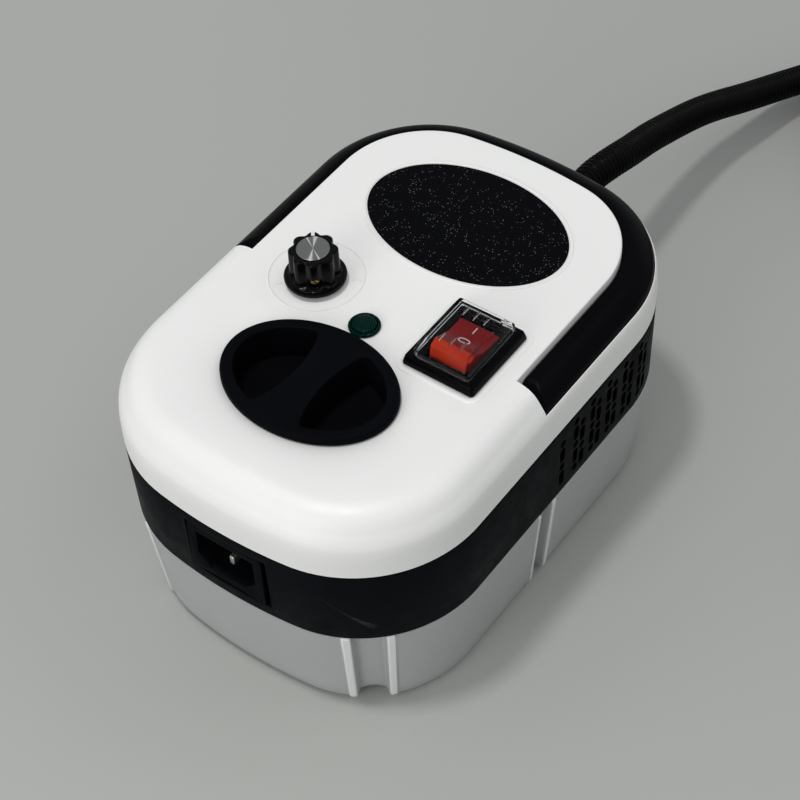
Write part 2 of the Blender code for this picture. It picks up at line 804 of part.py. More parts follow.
def make_mid_shell():
    """Black middle band with its floor: a tub that holds the inlet, pump and boiler."""
    outer_lip = LID_WALL + FIT_GAP
    inner_lip = outer_lip + LIP_WIDTH
    profile = [
        (BAND_DRAFT, TANK_HEIGHT),
        (0, BAND_TOP),
        (outer_lip, BAND_TOP),
        (outer_lip, BAND_TOP + LIP_HEIGHT),
        (inner_lip, BAND_TOP + LIP_HEIGHT),
        (inner_lip, BAND_TOP - LIP_HEIGHT),
        (outer_lip, BAND_TOP - LIP_HEIGHT - LIP_WIDTH),
        (BAND_DRAFT + CASE_WALL, FLOOR_TOP),
    ]
    shell = sweep("mid_shell", loop_stations(), profile, "black_plastic")
    front = INLET_RECESS - HALF_LENGTH
    back = front + INLET_FLANGE_DEPTH
    pad_x = INLET_FLANGE_WIDTH / 2 + INLET_POCKET_SLACK + INLET_PAD
    pad_z = INLET_FLANGE_HEIGHT / 2 + INLET_PAD
    pad = block(
        "inlet_pad", (-pad_x, back - INLET_RECESS, BAND_MIDDLE - pad_z),
        (pad_x, back + INLET_PAD, BAND_MIDDLE + pad_z)
    )
    bosses = []
    for x, y in boss_places():
        high = FLOOR_TOP + SCREW_HEAD_HEIGHT + CASE_WALL
        low = TANK_HEIGHT + CASE_WALL / 2
        bosses.append(
            rod("boss", BOSS_RADIUS + CASE_WALL / 2, (x, y, low), (x, y, high), sides=SMALL_SIDES)
        )
    unite(shell, pad, *bosses, *board_posts())
    gap = FIT_GAP
    pocket_z = INLET_FLANGE_HEIGHT / 2 + gap
    left = -INLET_FLANGE_WIDTH / 2 - gap
    right = INLET_FLANGE_WIDTH / 2 + INLET_POCKET_SLACK
    pocket = block(
        "inlet_pocket", (left, front - OVERRUN, BAND_MIDDLE - pocket_z),
        (right, back + gap, BAND_MIDDLE + pocket_z)
    )
    hole_x, hole_z = INLET_BODY_WIDTH / 2 + gap, INLET_BODY_HEIGHT / 2 + gap
    hole = block(
        "inlet_hole", (-hole_x, front, BAND_MIDDLE - hole_z),
        (hole_x, back + INLET_PAD + OVERRUN, BAND_MIDDLE + hole_z)
    )
    gland = rod(
        "gland_hole", GLAND_THREAD_RADIUS + gap, (0, HALF_LENGTH + OVERRUN, BAND_MIDDLE),
        (0, HALF_LENGTH - CASE_WALL - OVERRUN, BAND_MIDDLE),
    )
    below, above = TANK_HEIGHT - OVERRUN, FLOOR_TOP + OVERRUN
    spout = rod("spout_hole", SPOUT_RADIUS + gap, (0, FILLER_Y, below), (0, FILLER_Y, above), sides=24)
    suction_x, suction_y = suction_place()
    suction = rod(
        "suction_hole", SUCTION_RADIUS + gap, (suction_x, suction_y, below), (suction_x, suction_y, above)
    )
    cut(shell, pocket, hole, gland, spout, suction)
    for x, y in boss_places():
        head_top = TANK_HEIGHT + SCREW_HEAD_HEIGHT + 3 * gap
        sink = rod("head_sink", SCREW_HEAD_RADIUS + gap, (x, y, below), (x, y, head_top), sides=SMALL_SIDES)
        way = rod(
            "screw_way", SCREW_RADIUS + gap, (x, y, TANK_HEIGHT), (x, y, above + OVERRUN), sides=SMALL_SIDES
        )
        cut(shell, sink, way)
    cut(shell, slot_cutter(1), slot_cutter(-1))


def lid_profile():
    """Section of the lid, from the middle of its underside down inside, then up outside to the panel."""
    inner_z = (PANEL_UNDER, 0.95, 0.88, 0.81, 0.72, 0.60, 0.42, 0.22)
    inner_inset = (1.0, 0.68, 0.53, 0.425, 0.34, 0.26, 0.20, 0.185)
    profile = [(PANEL_INSET * inner_inset[0], PANEL_UNDER)]
    for inset_share, height_share in zip(inner_inset[1:], inner_z[1:], strict=True):
        profile.append((PANEL_INSET * inset_share, BAND_TOP + (PANEL_UNDER - BAND_TOP) * height_share))
    profile.append((LID_WALL, BAND_TOP + FIT_GAP))
    outer_shares = (
        (0, 0.012), (0, 0.35), (0.027, 0.52), (0.085, 0.62), (0.15, 0.676), (0.23, 0.74), (0.338, 0.826),
        (0.446, 0.891), (0.585, 0.943), (0.738, 0.976), (1.015, 1.0),
    )
    profile += [(PANEL_INSET * inset, BAND_TOP + LID_RISE * rise) for inset, rise in outer_shares]
    return profile


def make_top_shell():
    """White lid: rounded rim, raised panel and the channel that the handle folds into."""
    shell = sweep("top_shell", loop_stations(), lid_profile(), "white_shell")
    wall = CHANNEL_WALL
    channel = CHANNEL_FLOOR
    liner_profile = [
        (wall / 2, channel - wall), (PANEL_INSET + wall, channel - wall),
        (PANEL_INSET + wall, PANEL_TOP - wall / 2),
        (PANEL_INSET * 0.7, PANEL_TOP - wall / 2), (PANEL_INSET * 0.46, PANEL_TOP - wall * 1.6),
        (PANEL_INSET * 0.26, PANEL_TOP - wall * 3.2), (wall / 2, channel + wall),
    ]
    liner = sweep(
        "channel_liner", rear_stations(CHANNEL_END_Y - wall), liner_profile, closed_path=False,
        closed_profile=True
    )
    high = PANEL_TOP + OVERRUN
    rim_top = PANEL_TOP - RIM_DROP
    channel_profile = [
        (RIM_WALL, channel), (PANEL_INSET, channel), (PANEL_INSET, high), (-OVERRUN, high),
        (-OVERRUN, rim_top),
        (RIM_WALL, rim_top),
    ]
    cavity = sweep(
        "handle_channel", rear_stations(CHANNEL_END_Y), channel_profile, closed_path=False,
        closed_profile=True
    )
    pillars = []
    for x, y in boss_places():
        low = FLOOR_TOP + SCREW_HEAD_HEIGHT + CASE_WALL + FIT_GAP
        top = channel - wall / 2 if y > 0 else PANEL_UNDER + wall / 4
        pillars.append(rod("pillar", BOSS_RADIUS, (x, y, low), (x, y, top), sides=SMALL_SIDES))
    unite(shell, liner, *pillars)
    gap = FIT_GAP
    deep = PANEL_UNDER - OVERRUN
    opening = ovals(
        "filler_opening",
        [(filler_opening()[0], filler_opening()[1], deep), (filler_opening()[0], filler_opening()[1], high)],
        (0, FILLER_Y),
    )
    recess = ovals(
        "label_recess",
        [(LABEL_HALF_WIDTH + gap, LABEL_HALF_LENGTH + gap, z) for z in (PANEL_TOP - LABEL_RECESS, high)],
        (0, LABEL_Y),
        steps=40,
    )
    switch = block(
        "switch_hole",
        (SWITCH_X - SWITCH_BODY_WIDTH / 2 - gap, SWITCH_Y - SWITCH_BODY_LENGTH / 2 - gap, deep),
        (SWITCH_X + SWITCH_BODY_WIDTH / 2 + gap, SWITCH_Y + SWITCH_BODY_LENGTH / 2 + gap, high),
    )
    lamp = rod("lamp_hole", LAMP_NECK_RADIUS + gap, (LAMP_X, LAMP_Y, deep), (LAMP_X, LAMP_Y, high))
    bush = rod("bush_hole", POT_BUSH_RADIUS + gap, (KNOB_X, KNOB_Y, deep), (KNOB_X, KNOB_Y, high))
    cut(shell, cavity)
    weld(shell)
    cut(shell, opening, recess, switch, lamp, bush)
    pin_reach = HALF_WIDTH - PANEL_INSET - CHANNEL_WALL - OVERRUN
    for side in (-1, 1):
        start = (side * pin_reach, PIVOT_Y, PIVOT_Z)
        end = (side * (HALF_WIDTH - PANEL_INSET + OVERRUN), PIVOT_Y, PIVOT_Z)
        cut(shell, rod("pin_hole", PIVOT_PIN_RADIUS + gap, start, end))
    for x, y in boss_places():
        low = FLOOR_TOP
        way = rod(
            "screw_way", SCREW_RADIUS + gap, (x, y, low), (x, y, low + SCREW_LENGTH + OVERRUN), sides=8
        )
        cut(shell, way)


def filler_opening():
    """Half width and half length of the opening under the filler cap."""
    margin = CAP_RIM * 0.6
    return CAP_HALF_WIDTH - margin, CAP_HALF_LENGTH - margin


def make_handle():
    """Carrying handle with rounded arm ends, its two pivot pins and its joint."""
    low, top = HANDLE_LOW, HANDLE_LOW + HANDLE_HEIGHT
    outer = RIM_WALL + FIT_GAP
    inner = PANEL_INSET - FIT_GAP
    shoulder = HANDLE_SHOULDER_DROP
    span = inner - outer
    profile = [
        (outer, low), (outer, top - shoulder), (outer + span * 0.055, top - shoulder * 0.79),
        (outer + span * 0.21, top - shoulder * 0.46), (outer + span * 0.48, top - shoulder * 0.13),
        (outer + span * 0.75, top), (outer + span * 0.93, top), (inner, top - shoulder * 0.1), (inner, low),
    ]
    handle = sweep(
        "carry_handle", rear_stations(PIVOT_Y - ARM_END_RADIUS), profile, "black_plastic",
        closed_path=False, closed_profile=True,
    )
    far = PIVOT_Y - ARM_END_RADIUS - OVERRUN
    arc = [math.radians(-90 - 18 * i) for i in range(11)]
    outline = [(far, low - OVERRUN), (PIVOT_Y, low - OVERRUN)]
    outline += [
        (PIVOT_Y + ARM_END_RADIUS * math.cos(a), PIVOT_Z + ARM_END_RADIUS * math.sin(a)) for a in arc
    ]
    outline += [(PIVOT_Y, top + OVERRUN), (far, top + OVERRUN)]
    cut(handle, plate("arm_end_round", outline, -HALF_WIDTH - OVERRUN, HALF_WIDTH + OVERRUN, plane="YZ"))
    bore_end = HALF_WIDTH - outer - CHANNEL_WALL
    for side in (-1, 1):
        start = (side * (HALF_WIDTH - PANEL_INSET - OVERRUN), PIVOT_Y, PIVOT_Z)
        cut(
            handle,
            rod("pivot_bore", PIVOT_PIN_RADIUS + FIT_GAP, start, (side * bore_end, PIVOT_Y, PIVOT_Z)),
        )
        head = HALF_WIDTH - PANEL_INSET - CHANNEL_WALL - FIT_GAP
        profile = [
            (0, bore_end - FIT_GAP), (PIVOT_PIN_RADIUS, bore_end - FIT_GAP), (PIVOT_PIN_RADIUS, head),
            (PIVOT_HEAD_RADIUS, head), (PIVOT_HEAD_RADIUS, head - PIVOT_HEAD_LENGTH),
            (0, head - PIVOT_HEAD_LENGTH),
        ]
        name = f"handle_pivot_pin_{'right' if side > 0 else 'left'}"
        turned(name, profile, (0, PIVOT_Y, PIVOT_Z), (side, 0, 0), "steel", sides=SMALL_SIDES)
    seat_origin(handle, (0, PIVOT_Y, PIVOT_Z))
    hang(joint_empty("handle_joint", (0, PIVOT_Y, PIVOT_Z)), handle)


def make_filler_cap():
    """Oval pull-off cap with two finger pockets beside a waisted grip bar."""
    low, top = PANEL_TOP + FIT_GAP, PANEL_TOP + FIT_GAP + CAP_THICKNESS
    plug_x, plug_y = (half - 6 * FIT_GAP for half in filler_opening())
    bottom = PANEL_TOP - CAP_PLUG_DEPTH
    rings = [
        (plug_x, plug_y, bottom),
        (plug_x, plug_y, low),
        (CAP_HALF_WIDTH, CAP_HALF_LENGTH, low),
        (CAP_HALF_WIDTH, CAP_HALF_LENGTH, top - CAP_CHAMFER),
        (CAP_HALF_WIDTH - CAP_CHAMFER, CAP_HALF_LENGTH - CAP_CHAMFER, top),
        (CAP_HALF_WIDTH - CAP_RIM, CAP_HALF_LENGTH - CAP_RIM, top),
    ]
    cap = ovals("filler_cap", rings, (0, FILLER_Y), "black_plastic", steps=36)
    pocket_x, pocket_y = plug_x - CAP_PLUG_WALL, plug_y - CAP_PLUG_WALL
    for side in (-1, 1):
        outline = []
        reach = math.asin(0.93)
        for i in range(13):
            angle = -reach + 2 * reach * i / 12
            outline.append((side * pocket_x * math.cos(angle), FILLER_Y + pocket_y * math.sin(angle)))
        for i in range(9):
            along = pocket_y * 0.93 * (1 - i / 4)
            waist = GRIP_WAIST_HALF + GRIP_FLARE * (along / pocket_y) ** 2
            outline.append((side * waist, FILLER_Y + along))
        cut(cap, plate(f"finger_pocket_{side}", outline, bottom + CAP_FLOOR, top + OVERRUN))
    grove_top = PANEL_TOP - CAP_PLUG_DEPTH * 0.2
    seal = [
        (plug_x + FIT_GAP, plug_y + FIT_GAP, grove_top - GASKET_HEIGHT),
        (plug_x + FIT_GAP, plug_y + FIT_GAP, grove_top),
        (plug_x + 5 * FIT_GAP, plug_y + 5 * FIT_GAP, grove_top),
        (plug_x + 5 * FIT_GAP, plug_y + 5 * FIT_GAP, grove_top - GASKET_HEIGHT),
    ]
    gasket = ovals("cap_gasket", seal, (0, FILLER_Y), "rubber", closed=True)
    seat_origin(cap, (0, FILLER_Y, PANEL_TOP))
    hang(joint_empty("cap_joint", (0, FILLER_Y, PANEL_TOP)), cap, gasket)


def make_filler_neck():
    """Cup and spout that lead the water past the electrics into the tank."""
    cup_x, cup_y = filler_opening()
    wall = NECK_WALL
    top = PANEL_UNDER - FIT_GAP
    floor = top - NECK_CUP_DEPTH
    low = PANEL_TOP - SPOUT_TOP_DEPTH
    end = TANK_HEIGHT - CASE_WALL
    rings = [
        (SPOUT_RADIUS, SPOUT_RADIUS, end),
        (SPOUT_RADIUS, SPOUT_RADIUS, low),
        (cup_x + wall, cup_y + wall, floor),
        (cup_x + wall, cup_y + wall, top - wall),
        (cup_x + NECK_FLANGE, cup_y + NECK_FLANGE, top - wall),
        (cup_x + NECK_FLANGE, cup_y + NECK_FLANGE, top),
        (cup_x, cup_y, top),
        (cup_x, cup_y, floor + wall),
        (SPOUT_RADIUS - wall, SPOUT_RADIUS - wall, low + wall),
        (SPOUT_RADIUS - wall, SPOUT_RADIUS - wall, end),
    ]
    ovals("filler_neck", rings, (0, FILLER_Y), "black_plastic", closed=True)


def make_label_plate():
    low = PANEL_TOP - LABEL_RECESS + FIT_GAP
    rings = [(LABEL_HALF_WIDTH, LABEL_HALF_LENGTH, z) for z in (low, low + LABEL_RECESS)]
    ovals("label_plate", rings, (0, LABEL_Y), "label_film", steps=40)


def scalloped(radius, depth, steps):
    points = []
    for i in range(steps):
        angle = 2 * math.pi * i / steps
        r = radius - depth * (1 + math.cos(GRIP_FLUTES * angle)) / 2
        points.append((KNOB_X + r * math.cos(angle), KNOB_Y + r * math.sin(angle)))
    return points


def make_knob():
    """Steam control knob with its skirt, scalloped grip, metal insert, set screw and shaft."""
    base = PANEL_TOP + KNOB_LIFT
    grip_base, top = base + SKIRT_HEIGHT, base + KNOB_HEIGHT
    steps = 5 * GRIP_FLUTES
    shade = GRIP_RADIUS - FIT_GAP * 2
    rings = [
        (SKIRT_RADIUS, 0, base),
        (SKIRT_RADIUS, 0, base + SKIRT_HEIGHT * 0.7),
        (SKIRT_RADIUS * 0.92, 0, grip_base),
        (GRIP_RADIUS, GRIP_DEPTH, grip_base + FIT_GAP),
        (shade, GRIP_DEPTH, top - FIT_GAP * 3),
        (shade - FIT_GAP * 2, GRIP_DEPTH * 0.6, top),
        (INSERT_RADIUS + FIT_GAP, 0, top),
        (INSERT_RADIUS + FIT_GAP, 0, top - INSERT_HEIGHT),
    ]
    knob = stacked("control_knob", [(scalloped(r, d, steps), z) for r, d, z in rings], "black_plastic")
    shaft_low = PANEL_TOP - POT_HEIGHT
    shaft_top = PANEL_TOP + SHAFT_RISE
    bore = rod(
        "shaft_bore", SHAFT_RADIUS + FIT_GAP, (KNOB_X, KNOB_Y, PANEL_TOP),
        (KNOB_X, KNOB_Y, shaft_top + FIT_GAP)
    )
    azimuth = Vector((math.cos(SET_SCREW_AZIMUTH), math.sin(SET_SCREW_AZIMUTH), 0))
    middle = Vector((KNOB_X, KNOB_Y, base + SET_SCREW_RISE))
    near = middle + azimuth * (SHAFT_RADIUS + FIT_GAP)
    screw_hole = rod(
        "set_screw_hole", SET_SCREW_RADIUS + FIT_GAP, near - azimuth * FIT_GAP,
        middle + azimuth * SKIRT_RADIUS,
        sides=SMALL_SIDES,
    )
    cut(knob, bore, screw_hole)
    set_screw = rod(
        "knob_set_screw", SET_SCREW_RADIUS, near, near + azimuth * SET_SCREW_LENGTH, "brass",
        sides=SMALL_SIDES
    )
    insert_low = top - INSERT_HEIGHT + FIT_GAP
    insert = rod(
        "knob_insert", INSERT_RADIUS, (KNOB_X, KNOB_Y, insert_low),
        (KNOB_X, KNOB_Y, insert_low + INSERT_HEIGHT),
        "aluminium", sides=28,
    )
    shaft = rod(
        "knob_shaft", SHAFT_RADIUS, (KNOB_X, KNOB_Y, shaft_low), (KNOB_X, KNOB_Y, shaft_top), "steel"
    )
    seat_origin(knob, (KNOB_X, KNOB_Y, PANEL_TOP))
    hang(joint_empty("knob_joint", (KNOB_X, KNOB_Y, PANEL_TOP)), knob, insert, set_screw, shaft)


def make_potentiometer():
    body_top = PANEL_UNDER - FIT_GAP - PANEL_TOP
    body_low = body_top - POT_HEIGHT
    bore = SHAFT_RADIUS + FIT_GAP
    profile = [
        (bore, 0), (POT_BUSH_RADIUS, 0), (POT_BUSH_RADIUS, body_top), (POT_RADIUS, body_top),
        (POT_RADIUS, body_low), (bore, body_low),
    ]
    turned("potentiometer", profile, (KNOB_X, KNOB_Y, PANEL_TOP), (0, 0, 1), "steel")


def make_lamp():
    gap = FIT_GAP
    profile = [
        (0, gap + LAMP_DOME), (LAMP_RADIUS * 0.55, gap + LAMP_DOME * 0.86),
        (LAMP_RADIUS * 0.86, gap + LAMP_DOME * 0.5),
        (LAMP_RADIUS, gap + LAMP_DOME * 0.15), (LAMP_RADIUS, gap), (LAMP_NECK_RADIUS, gap),
        (LAMP_NECK_RADIUS, -LAMP_NECK), (0, -LAMP_NECK),
    ]
    turned("lamp_lens", profile, (LAMP_X, LAMP_Y, PANEL_TOP), (0, 0, 1), "green_lens", sides=20)
    top = PANEL_TOP - LAMP_NECK - gap
    radius = LAMP_RADIUS - gap
    rod(
        "lamp_body", radius, (LAMP_X, LAMP_Y, top - LAMP_BODY_LENGTH), (LAMP_X, LAMP_Y, top),
        "black_plastic",
    )


def make_switch():
    """Rocker switch: framed housing, tilting rocker, clear cover over it and the terminals below."""
    base = PANEL_TOP + FIT_GAP
    frame_top = base + SWITCH_FRAME_HEIGHT
    taper = SWITCH_FRAME_TAPER
    round_corner = taper * 1.6
    rings = [
        (rounded_rectangle(SWITCH_X, SWITCH_Y, SWITCH_WIDTH, SWITCH_LENGTH, round_corner), base),
        (rounded_rectangle(SWITCH_X, SWITCH_Y, SWITCH_WIDTH, SWITCH_LENGTH, round_corner), base + taper / 2),
        (
            rounded_rectangle(
                SWITCH_X, SWITCH_Y, SWITCH_WIDTH - taper, SWITCH_LENGTH - taper, round_corner
            ),
            frame_top,
        ),
    ]
    housing = stacked("switch_housing", rings, "black_gloss")
    half_x, half_y = SWITCH_BODY_WIDTH / 2, SWITCH_BODY_LENGTH / 2
    body = block(
        "switch_body", (SWITCH_X - half_x, SWITCH_Y - half_y, PANEL_TOP - SWITCH_BODY_DEPTH),
        (SWITCH_X + half_x, SWITCH_Y + half_y, base + taper / 2),
    )
    unite(housing, body)
    cave_x, cave_y = ROCKER_WIDTH / 2 + 2 * FIT_GAP, ROCKER_LENGTH / 2 + 5 * FIT_GAP
    cavity = block(
        "rocker_cavity", (SWITCH_X - cave_x, SWITCH_Y - cave_y, PANEL_TOP - SWITCH_CAVITY_DEPTH),
        (SWITCH_X + cave_x, SWITCH_Y + cave_y, frame_top + OVERRUN),
    )
    cut(housing, cavity)
    make_rocker()
    make_switch_cover(frame_top + FIT_GAP)
    for side in (-1, 1):
        y = SWITCH_Y + side * SWITCH_BODY_LENGTH / 4
        top = PANEL_TOP - SWITCH_BODY_DEPTH + BLADE_THICKNESS
        low = (SWITCH_X - BLADE_WIDTH / 2, y - BLADE_THICKNESS / 2, top - BLADE_LENGTH)
        unite(
            housing,
            block("switch_terminal", low, (SWITCH_X + BLADE_WIDTH / 2, y + BLADE_THICKNESS / 2, top)),
        )


def make_rocker():
    pivot_z = PANEL_TOP + ROCKER_PIVOT_RISE
    half = ROCKER_LENGTH / 2
    section = [
        (-half * 0.9, ROCKER_END_RISE), (-half * 0.45, (ROCKER_END_RISE + ROCKER_MID_RISE) / 2),
        (0, ROCKER_MID_RISE), (half * 0.45, (ROCKER_END_RISE + ROCKER_MID_RISE) / 2),
        (half * 0.9, ROCKER_END_RISE), (half, ROCKER_END_RISE * 0.8), (half, -ROCKER_DEPTH * 0.4),
        (half * 0.4, -ROCKER_DEPTH), (-half * 0.4, -ROCKER_DEPTH), (-half, -ROCKER_DEPTH * 0.4),
        (-half, ROCKER_END_RISE * 0.8),
    ]
    cosine, sine = math.cos(-ROCKER_TILT), math.sin(-ROCKER_TILT)
    outline = [(SWITCH_Y + y * cosine - z * sine, pivot_z + y * sine + z * cosine) for y, z in section]
    left, right = SWITCH_X - ROCKER_WIDTH / 2, SWITCH_X + ROCKER_WIDTH / 2
    rocker = plate("switch_rocker", outline, left, right, "red_rocker", plane="YZ")
    seat_origin(rocker, (SWITCH_X, SWITCH_Y, pivot_z))
    hang(joint_empty("rocker_joint", (SWITCH_X, SWITCH_Y, pivot_z)), rocker)


def make_switch_cover(low):
    wall = DOME_WALL
    top = low + DOME_HEIGHT
    shoulder = low + DOME_SHOULDER
    corner = SWITCH_FRAME_TAPER * 1.6
    sizes = [
        (DOME_TOP_WIDTH - 4 * wall, DOME_TOP_LENGTH - 4 * wall, top - wall),
        (DOME_TOP_WIDTH - 2 * wall, DOME_TOP_LENGTH - 2 * wall, top - 2 * wall),
        (DOME_WIDTH - 2 * wall, DOME_LENGTH - 2 * wall, shoulder - wall / 2),
        (DOME_WIDTH - wall, DOME_LENGTH - 2 * wall, low),
        (DOME_WIDTH + wall, DOME_LENGTH + wall / 2, low),
        (DOME_WIDTH, DOME_LENGTH, shoulder),
        (DOME_TOP_WIDTH, DOME_TOP_LENGTH, top - wall / 2),
        (DOME_TOP_WIDTH - 1.5 * wall, DOME_TOP_LENGTH - 1.5 * wall, top),
    ]
    rings = [(rounded_rectangle(SWITCH_X, SWITCH_Y, width, length, corner), z) for width, length, z in sizes]
    stacked("switch_cover", rings, "clear_plastic")


def make_inlet():
    """Mains inlet: flanged socket with a keyed cavity and its three blades."""
    front = INLET_RECESS - HALF_LENGTH
    back = front + INLET_FLANGE_DEPTH
    flange = rounded_rectangle(0, BAND_MIDDLE, INLET_FLANGE_WIDTH, INLET_FLANGE_HEIGHT, INLET_FLANGE_DEPTH)
    inlet = plate("power_inlet", flange, front, back, "black_plastic", plane="XZ")
    body = rounded_rectangle(0, BAND_MIDDLE, INLET_BODY_WIDTH, INLET_BODY_HEIGHT, INLET_FLANGE_DEPTH)
    deep = front + INLET_BODY_DEPTH
    unite(inlet, plate("inlet_body", body, back - INLET_FLANGE_DEPTH / 2, deep, plane="XZ"))
    half_x, half_z = INLET_CAVITY_WIDTH / 2, INLET_CAVITY_HEIGHT / 2
    chamfer = INLET_CHAMFER
    keyed = [
        (-half_x, half_z), (-half_x, chamfer - half_z), (chamfer - half_x, -half_z),
        (half_x - chamfer, -half_z), (half_x, chamfer - half_z), (half_x, half_z),
    ]
    cavity = plate(
        "inlet_cavity", [(x, BAND_MIDDLE + z) for x, z in keyed], front - OVERRUN,
        front + INLET_CAVITY_DEPTH, plane="XZ"
    )
    cut(inlet, cavity)
    for slot in (-1, 0, 1):
        x = slot * INLET_PIN_SPACING
        z = BAND_MIDDLE + (INLET_PIN_OFFSET if slot else -INLET_PIN_OFFSET)
        half_w, half_h = INLET_PIN_WIDTH / 2, INLET_PIN_HEIGHT / 2
        tip, tail = front + INLET_PIN_TIP, deep + INLET_PIN_TAIL
        gap = FIT_GAP
        way = block(
            "pin_way", (x - half_w - gap, tip, z - half_h - gap), (x + half_w + gap, tail, z + half_h + gap)
        )
        cut(inlet, way)
        name = ("inlet_pin_left", "inlet_pin_earth", "inlet_pin_right")[slot + 1]
        block(name, (x - half_w, tip, z - half_h), (x + half_w, tail, z + half_h), "steel")


def make_hose():
    """Gland, ribbed free stretch of hose, the coil behind it and the tie round the coil."""
    out = GLAND_END_Y - HALF_LENGTH
    start = FIT_GAP - BAND_DRAFT / 2
    thread_end = -CASE_WALL - BAND_DRAFT - GLAND_NUT_LENGTH - 3 * FIT_GAP
    bore, collar, thread = HOSE_BORE_RADIUS, GLAND_RADIUS, GLAND_THREAD_RADIUS
    profile = [
        (bore, out), (HOSE_RADIUS * 1.2, out), (collar * 0.92, out * 0.93),
        (collar * 0.95, GLAND_FLANGE * 1.2),
        (collar, GLAND_FLANGE), (collar, start), (thread, start), (thread, thread_end), (bore, thread_end),
    ]
    turned("hose_gland", profile, (0, HALF_LENGTH, BAND_MIDDLE), (0, 1, 0), "black_plastic", sides=20)
    nut_start = HALF_LENGTH - CASE_WALL - BAND_DRAFT - 2 * FIT_GAP
    nut_end = nut_start - GLAND_NUT_LENGTH
    nut = rod(
        "gland_nut", GLAND_NUT_RADIUS, (0, nut_start, BAND_MIDDLE), (0, nut_end, BAND_MIDDLE),
        "black_plastic", 6,
    )
    nut_bore = rod(
        "nut_bore", thread + FIT_GAP, (0, nut_start + OVERRUN, BAND_MIDDLE),
        (0, nut_end - OVERRUN, BAND_MIDDLE)
    )
    cut(nut, nut_bore)
    coil = coil_line()
    angle = COIL_START
    heading = Vector((math.sin(angle), -math.cos(angle), 0))
    lead = coil[0] - heading * 2 * HOSE_RADIUS
    route = smooth_line([*HOSE_ROUTE, lead - heading * FIT_GAP], RIB_PITCH / 2)
    shares = [1.0 if i % 2 else 1 - RIB_DEPTH / HOSE_RADIUS for i in range(len(route))]
    hose = tube("steam_hose", route, HOSE_RADIUS, "rubber", 2, shares)
    bore_line = smooth_line([*HOSE_ROUTE, lead - heading * FIT_GAP], 4 * RIB_PITCH)
    bore_line = [
        bore_line[0] - (bore_line[1] - bore_line[0]), *bore_line, bore_line[-1] * 2 - bore_line[-2]
    ]
    cut(hose, tube("hose_bore", bore_line, HOSE_BORE_RADIUS, None, 1))
    end, away = gun_start()
    tail = []
    drop = end.z - GUN_HALF_THICKNESS - FIT_GAP
    for i in range(1, 7):
        share = i / 6
        eased = (1 - math.cos(math.pi * min(max((share - 0.25) / 0.55, 0), 1))) / 2
        tail.append(end + away * GUN_RUN * share - Vector((0, 0, drop * eased)))
    line = [lead, *coil, *tail]
    tube("hose_coil", line, HOSE_RADIUS, "rubber", 1)
    print(f"free stretch {path_length(route):.3f} m, coil and tail {path_length(line):.3f} m")
    print(f"least gap in the coil {least_gap(line, HOSE_RADIUS) * 1000:.2f} mm, ribs {len(route) // 2}")


def stadium(radius, low, high, steps=6):
    """Upright long round outline round two stacked tubes, as (across, height)."""
    points = [(radius * math.cos(math.pi * i / steps), high + radius * math.sin(math.pi * i / steps))
              for i in range(steps + 1)]
    points += [(-radius * math.cos(math.pi * i / steps), low - radius * math.sin(math.pi * i / steps))
               for i in range(steps + 1)]
    return points


def make_hose_tie():
    pitch = 2 * HOSE_RADIUS + COIL_CLEARANCE
    low = HOSE_RADIUS + TIE_SLACK + TIE_THICKNESS
    turns = COIL_TURNS / 2 - 0.5
    angle = COIL_START - 2 * math.pi * turns
    radius = COIL_INNER_RADIUS + pitch / 2
    out = Vector((math.cos(angle), math.sin(angle), 0))
    along = Vector((-out.y, out.x, 0))
    middle = Vector((COIL_CENTRE[0], COIL_CENTRE[1], 0)) + out * radius
    inner = stadium(HOSE_RADIUS + TIE_SLACK, low, low + pitch)
    outer = stadium(HOSE_RADIUS + TIE_SLACK + TIE_THICKNESS, low, low + pitch)
    shape = bmesh.new()
    rings = []
    for outline, side in ((inner, -1), (outer, -1), (outer, 1), (inner, 1)):
        rings.append([
            shape.verts.new(middle + out * across + along * side * TIE_WIDTH / 2 + Vector((0, 0, height)))
            for across, height in outline
        ])
    for j, ring in enumerate(rings):
        after = rings[(j + 1) % len(rings)]
        for i in range(len(ring)):
            k = (i + 1) % len(ring)
            shape.faces.new((ring[i], ring[k], after[k], after[i]))
    from_bmesh("hose_tie", shape, "black_plastic")


def gun_frame():
    """Matrix from the gun's own lengths (forward, left, up) to the object's frame."""
    end, away = gun_start()
    origin = end + away * (GUN_RUN + FIT_GAP)
    left = Vector((-away.y, away.x, 0))
    turn = Matrix((away, left, (0, 0, 1))).transposed().to_4x4()
    return Matrix.Translation((origin.x, origin.y, GUN_HALF_THICKNESS + FIT_GAP)) @ turn


def gun_outline(inset):
    points = []
    for side in (1, -1):
        row = []
        for share, width_share in GUN_WIDTH_SHARES:
            forward = GUN_RELIEF_LENGTH + FIT_GAP + inset + (GUN_LENGTH - 2 * inset) * share
            row.append((forward, side * (GUN_HALF_WIDTH * width_share - inset)))
        points += row if side > 0 else list(reversed(row))
    return points


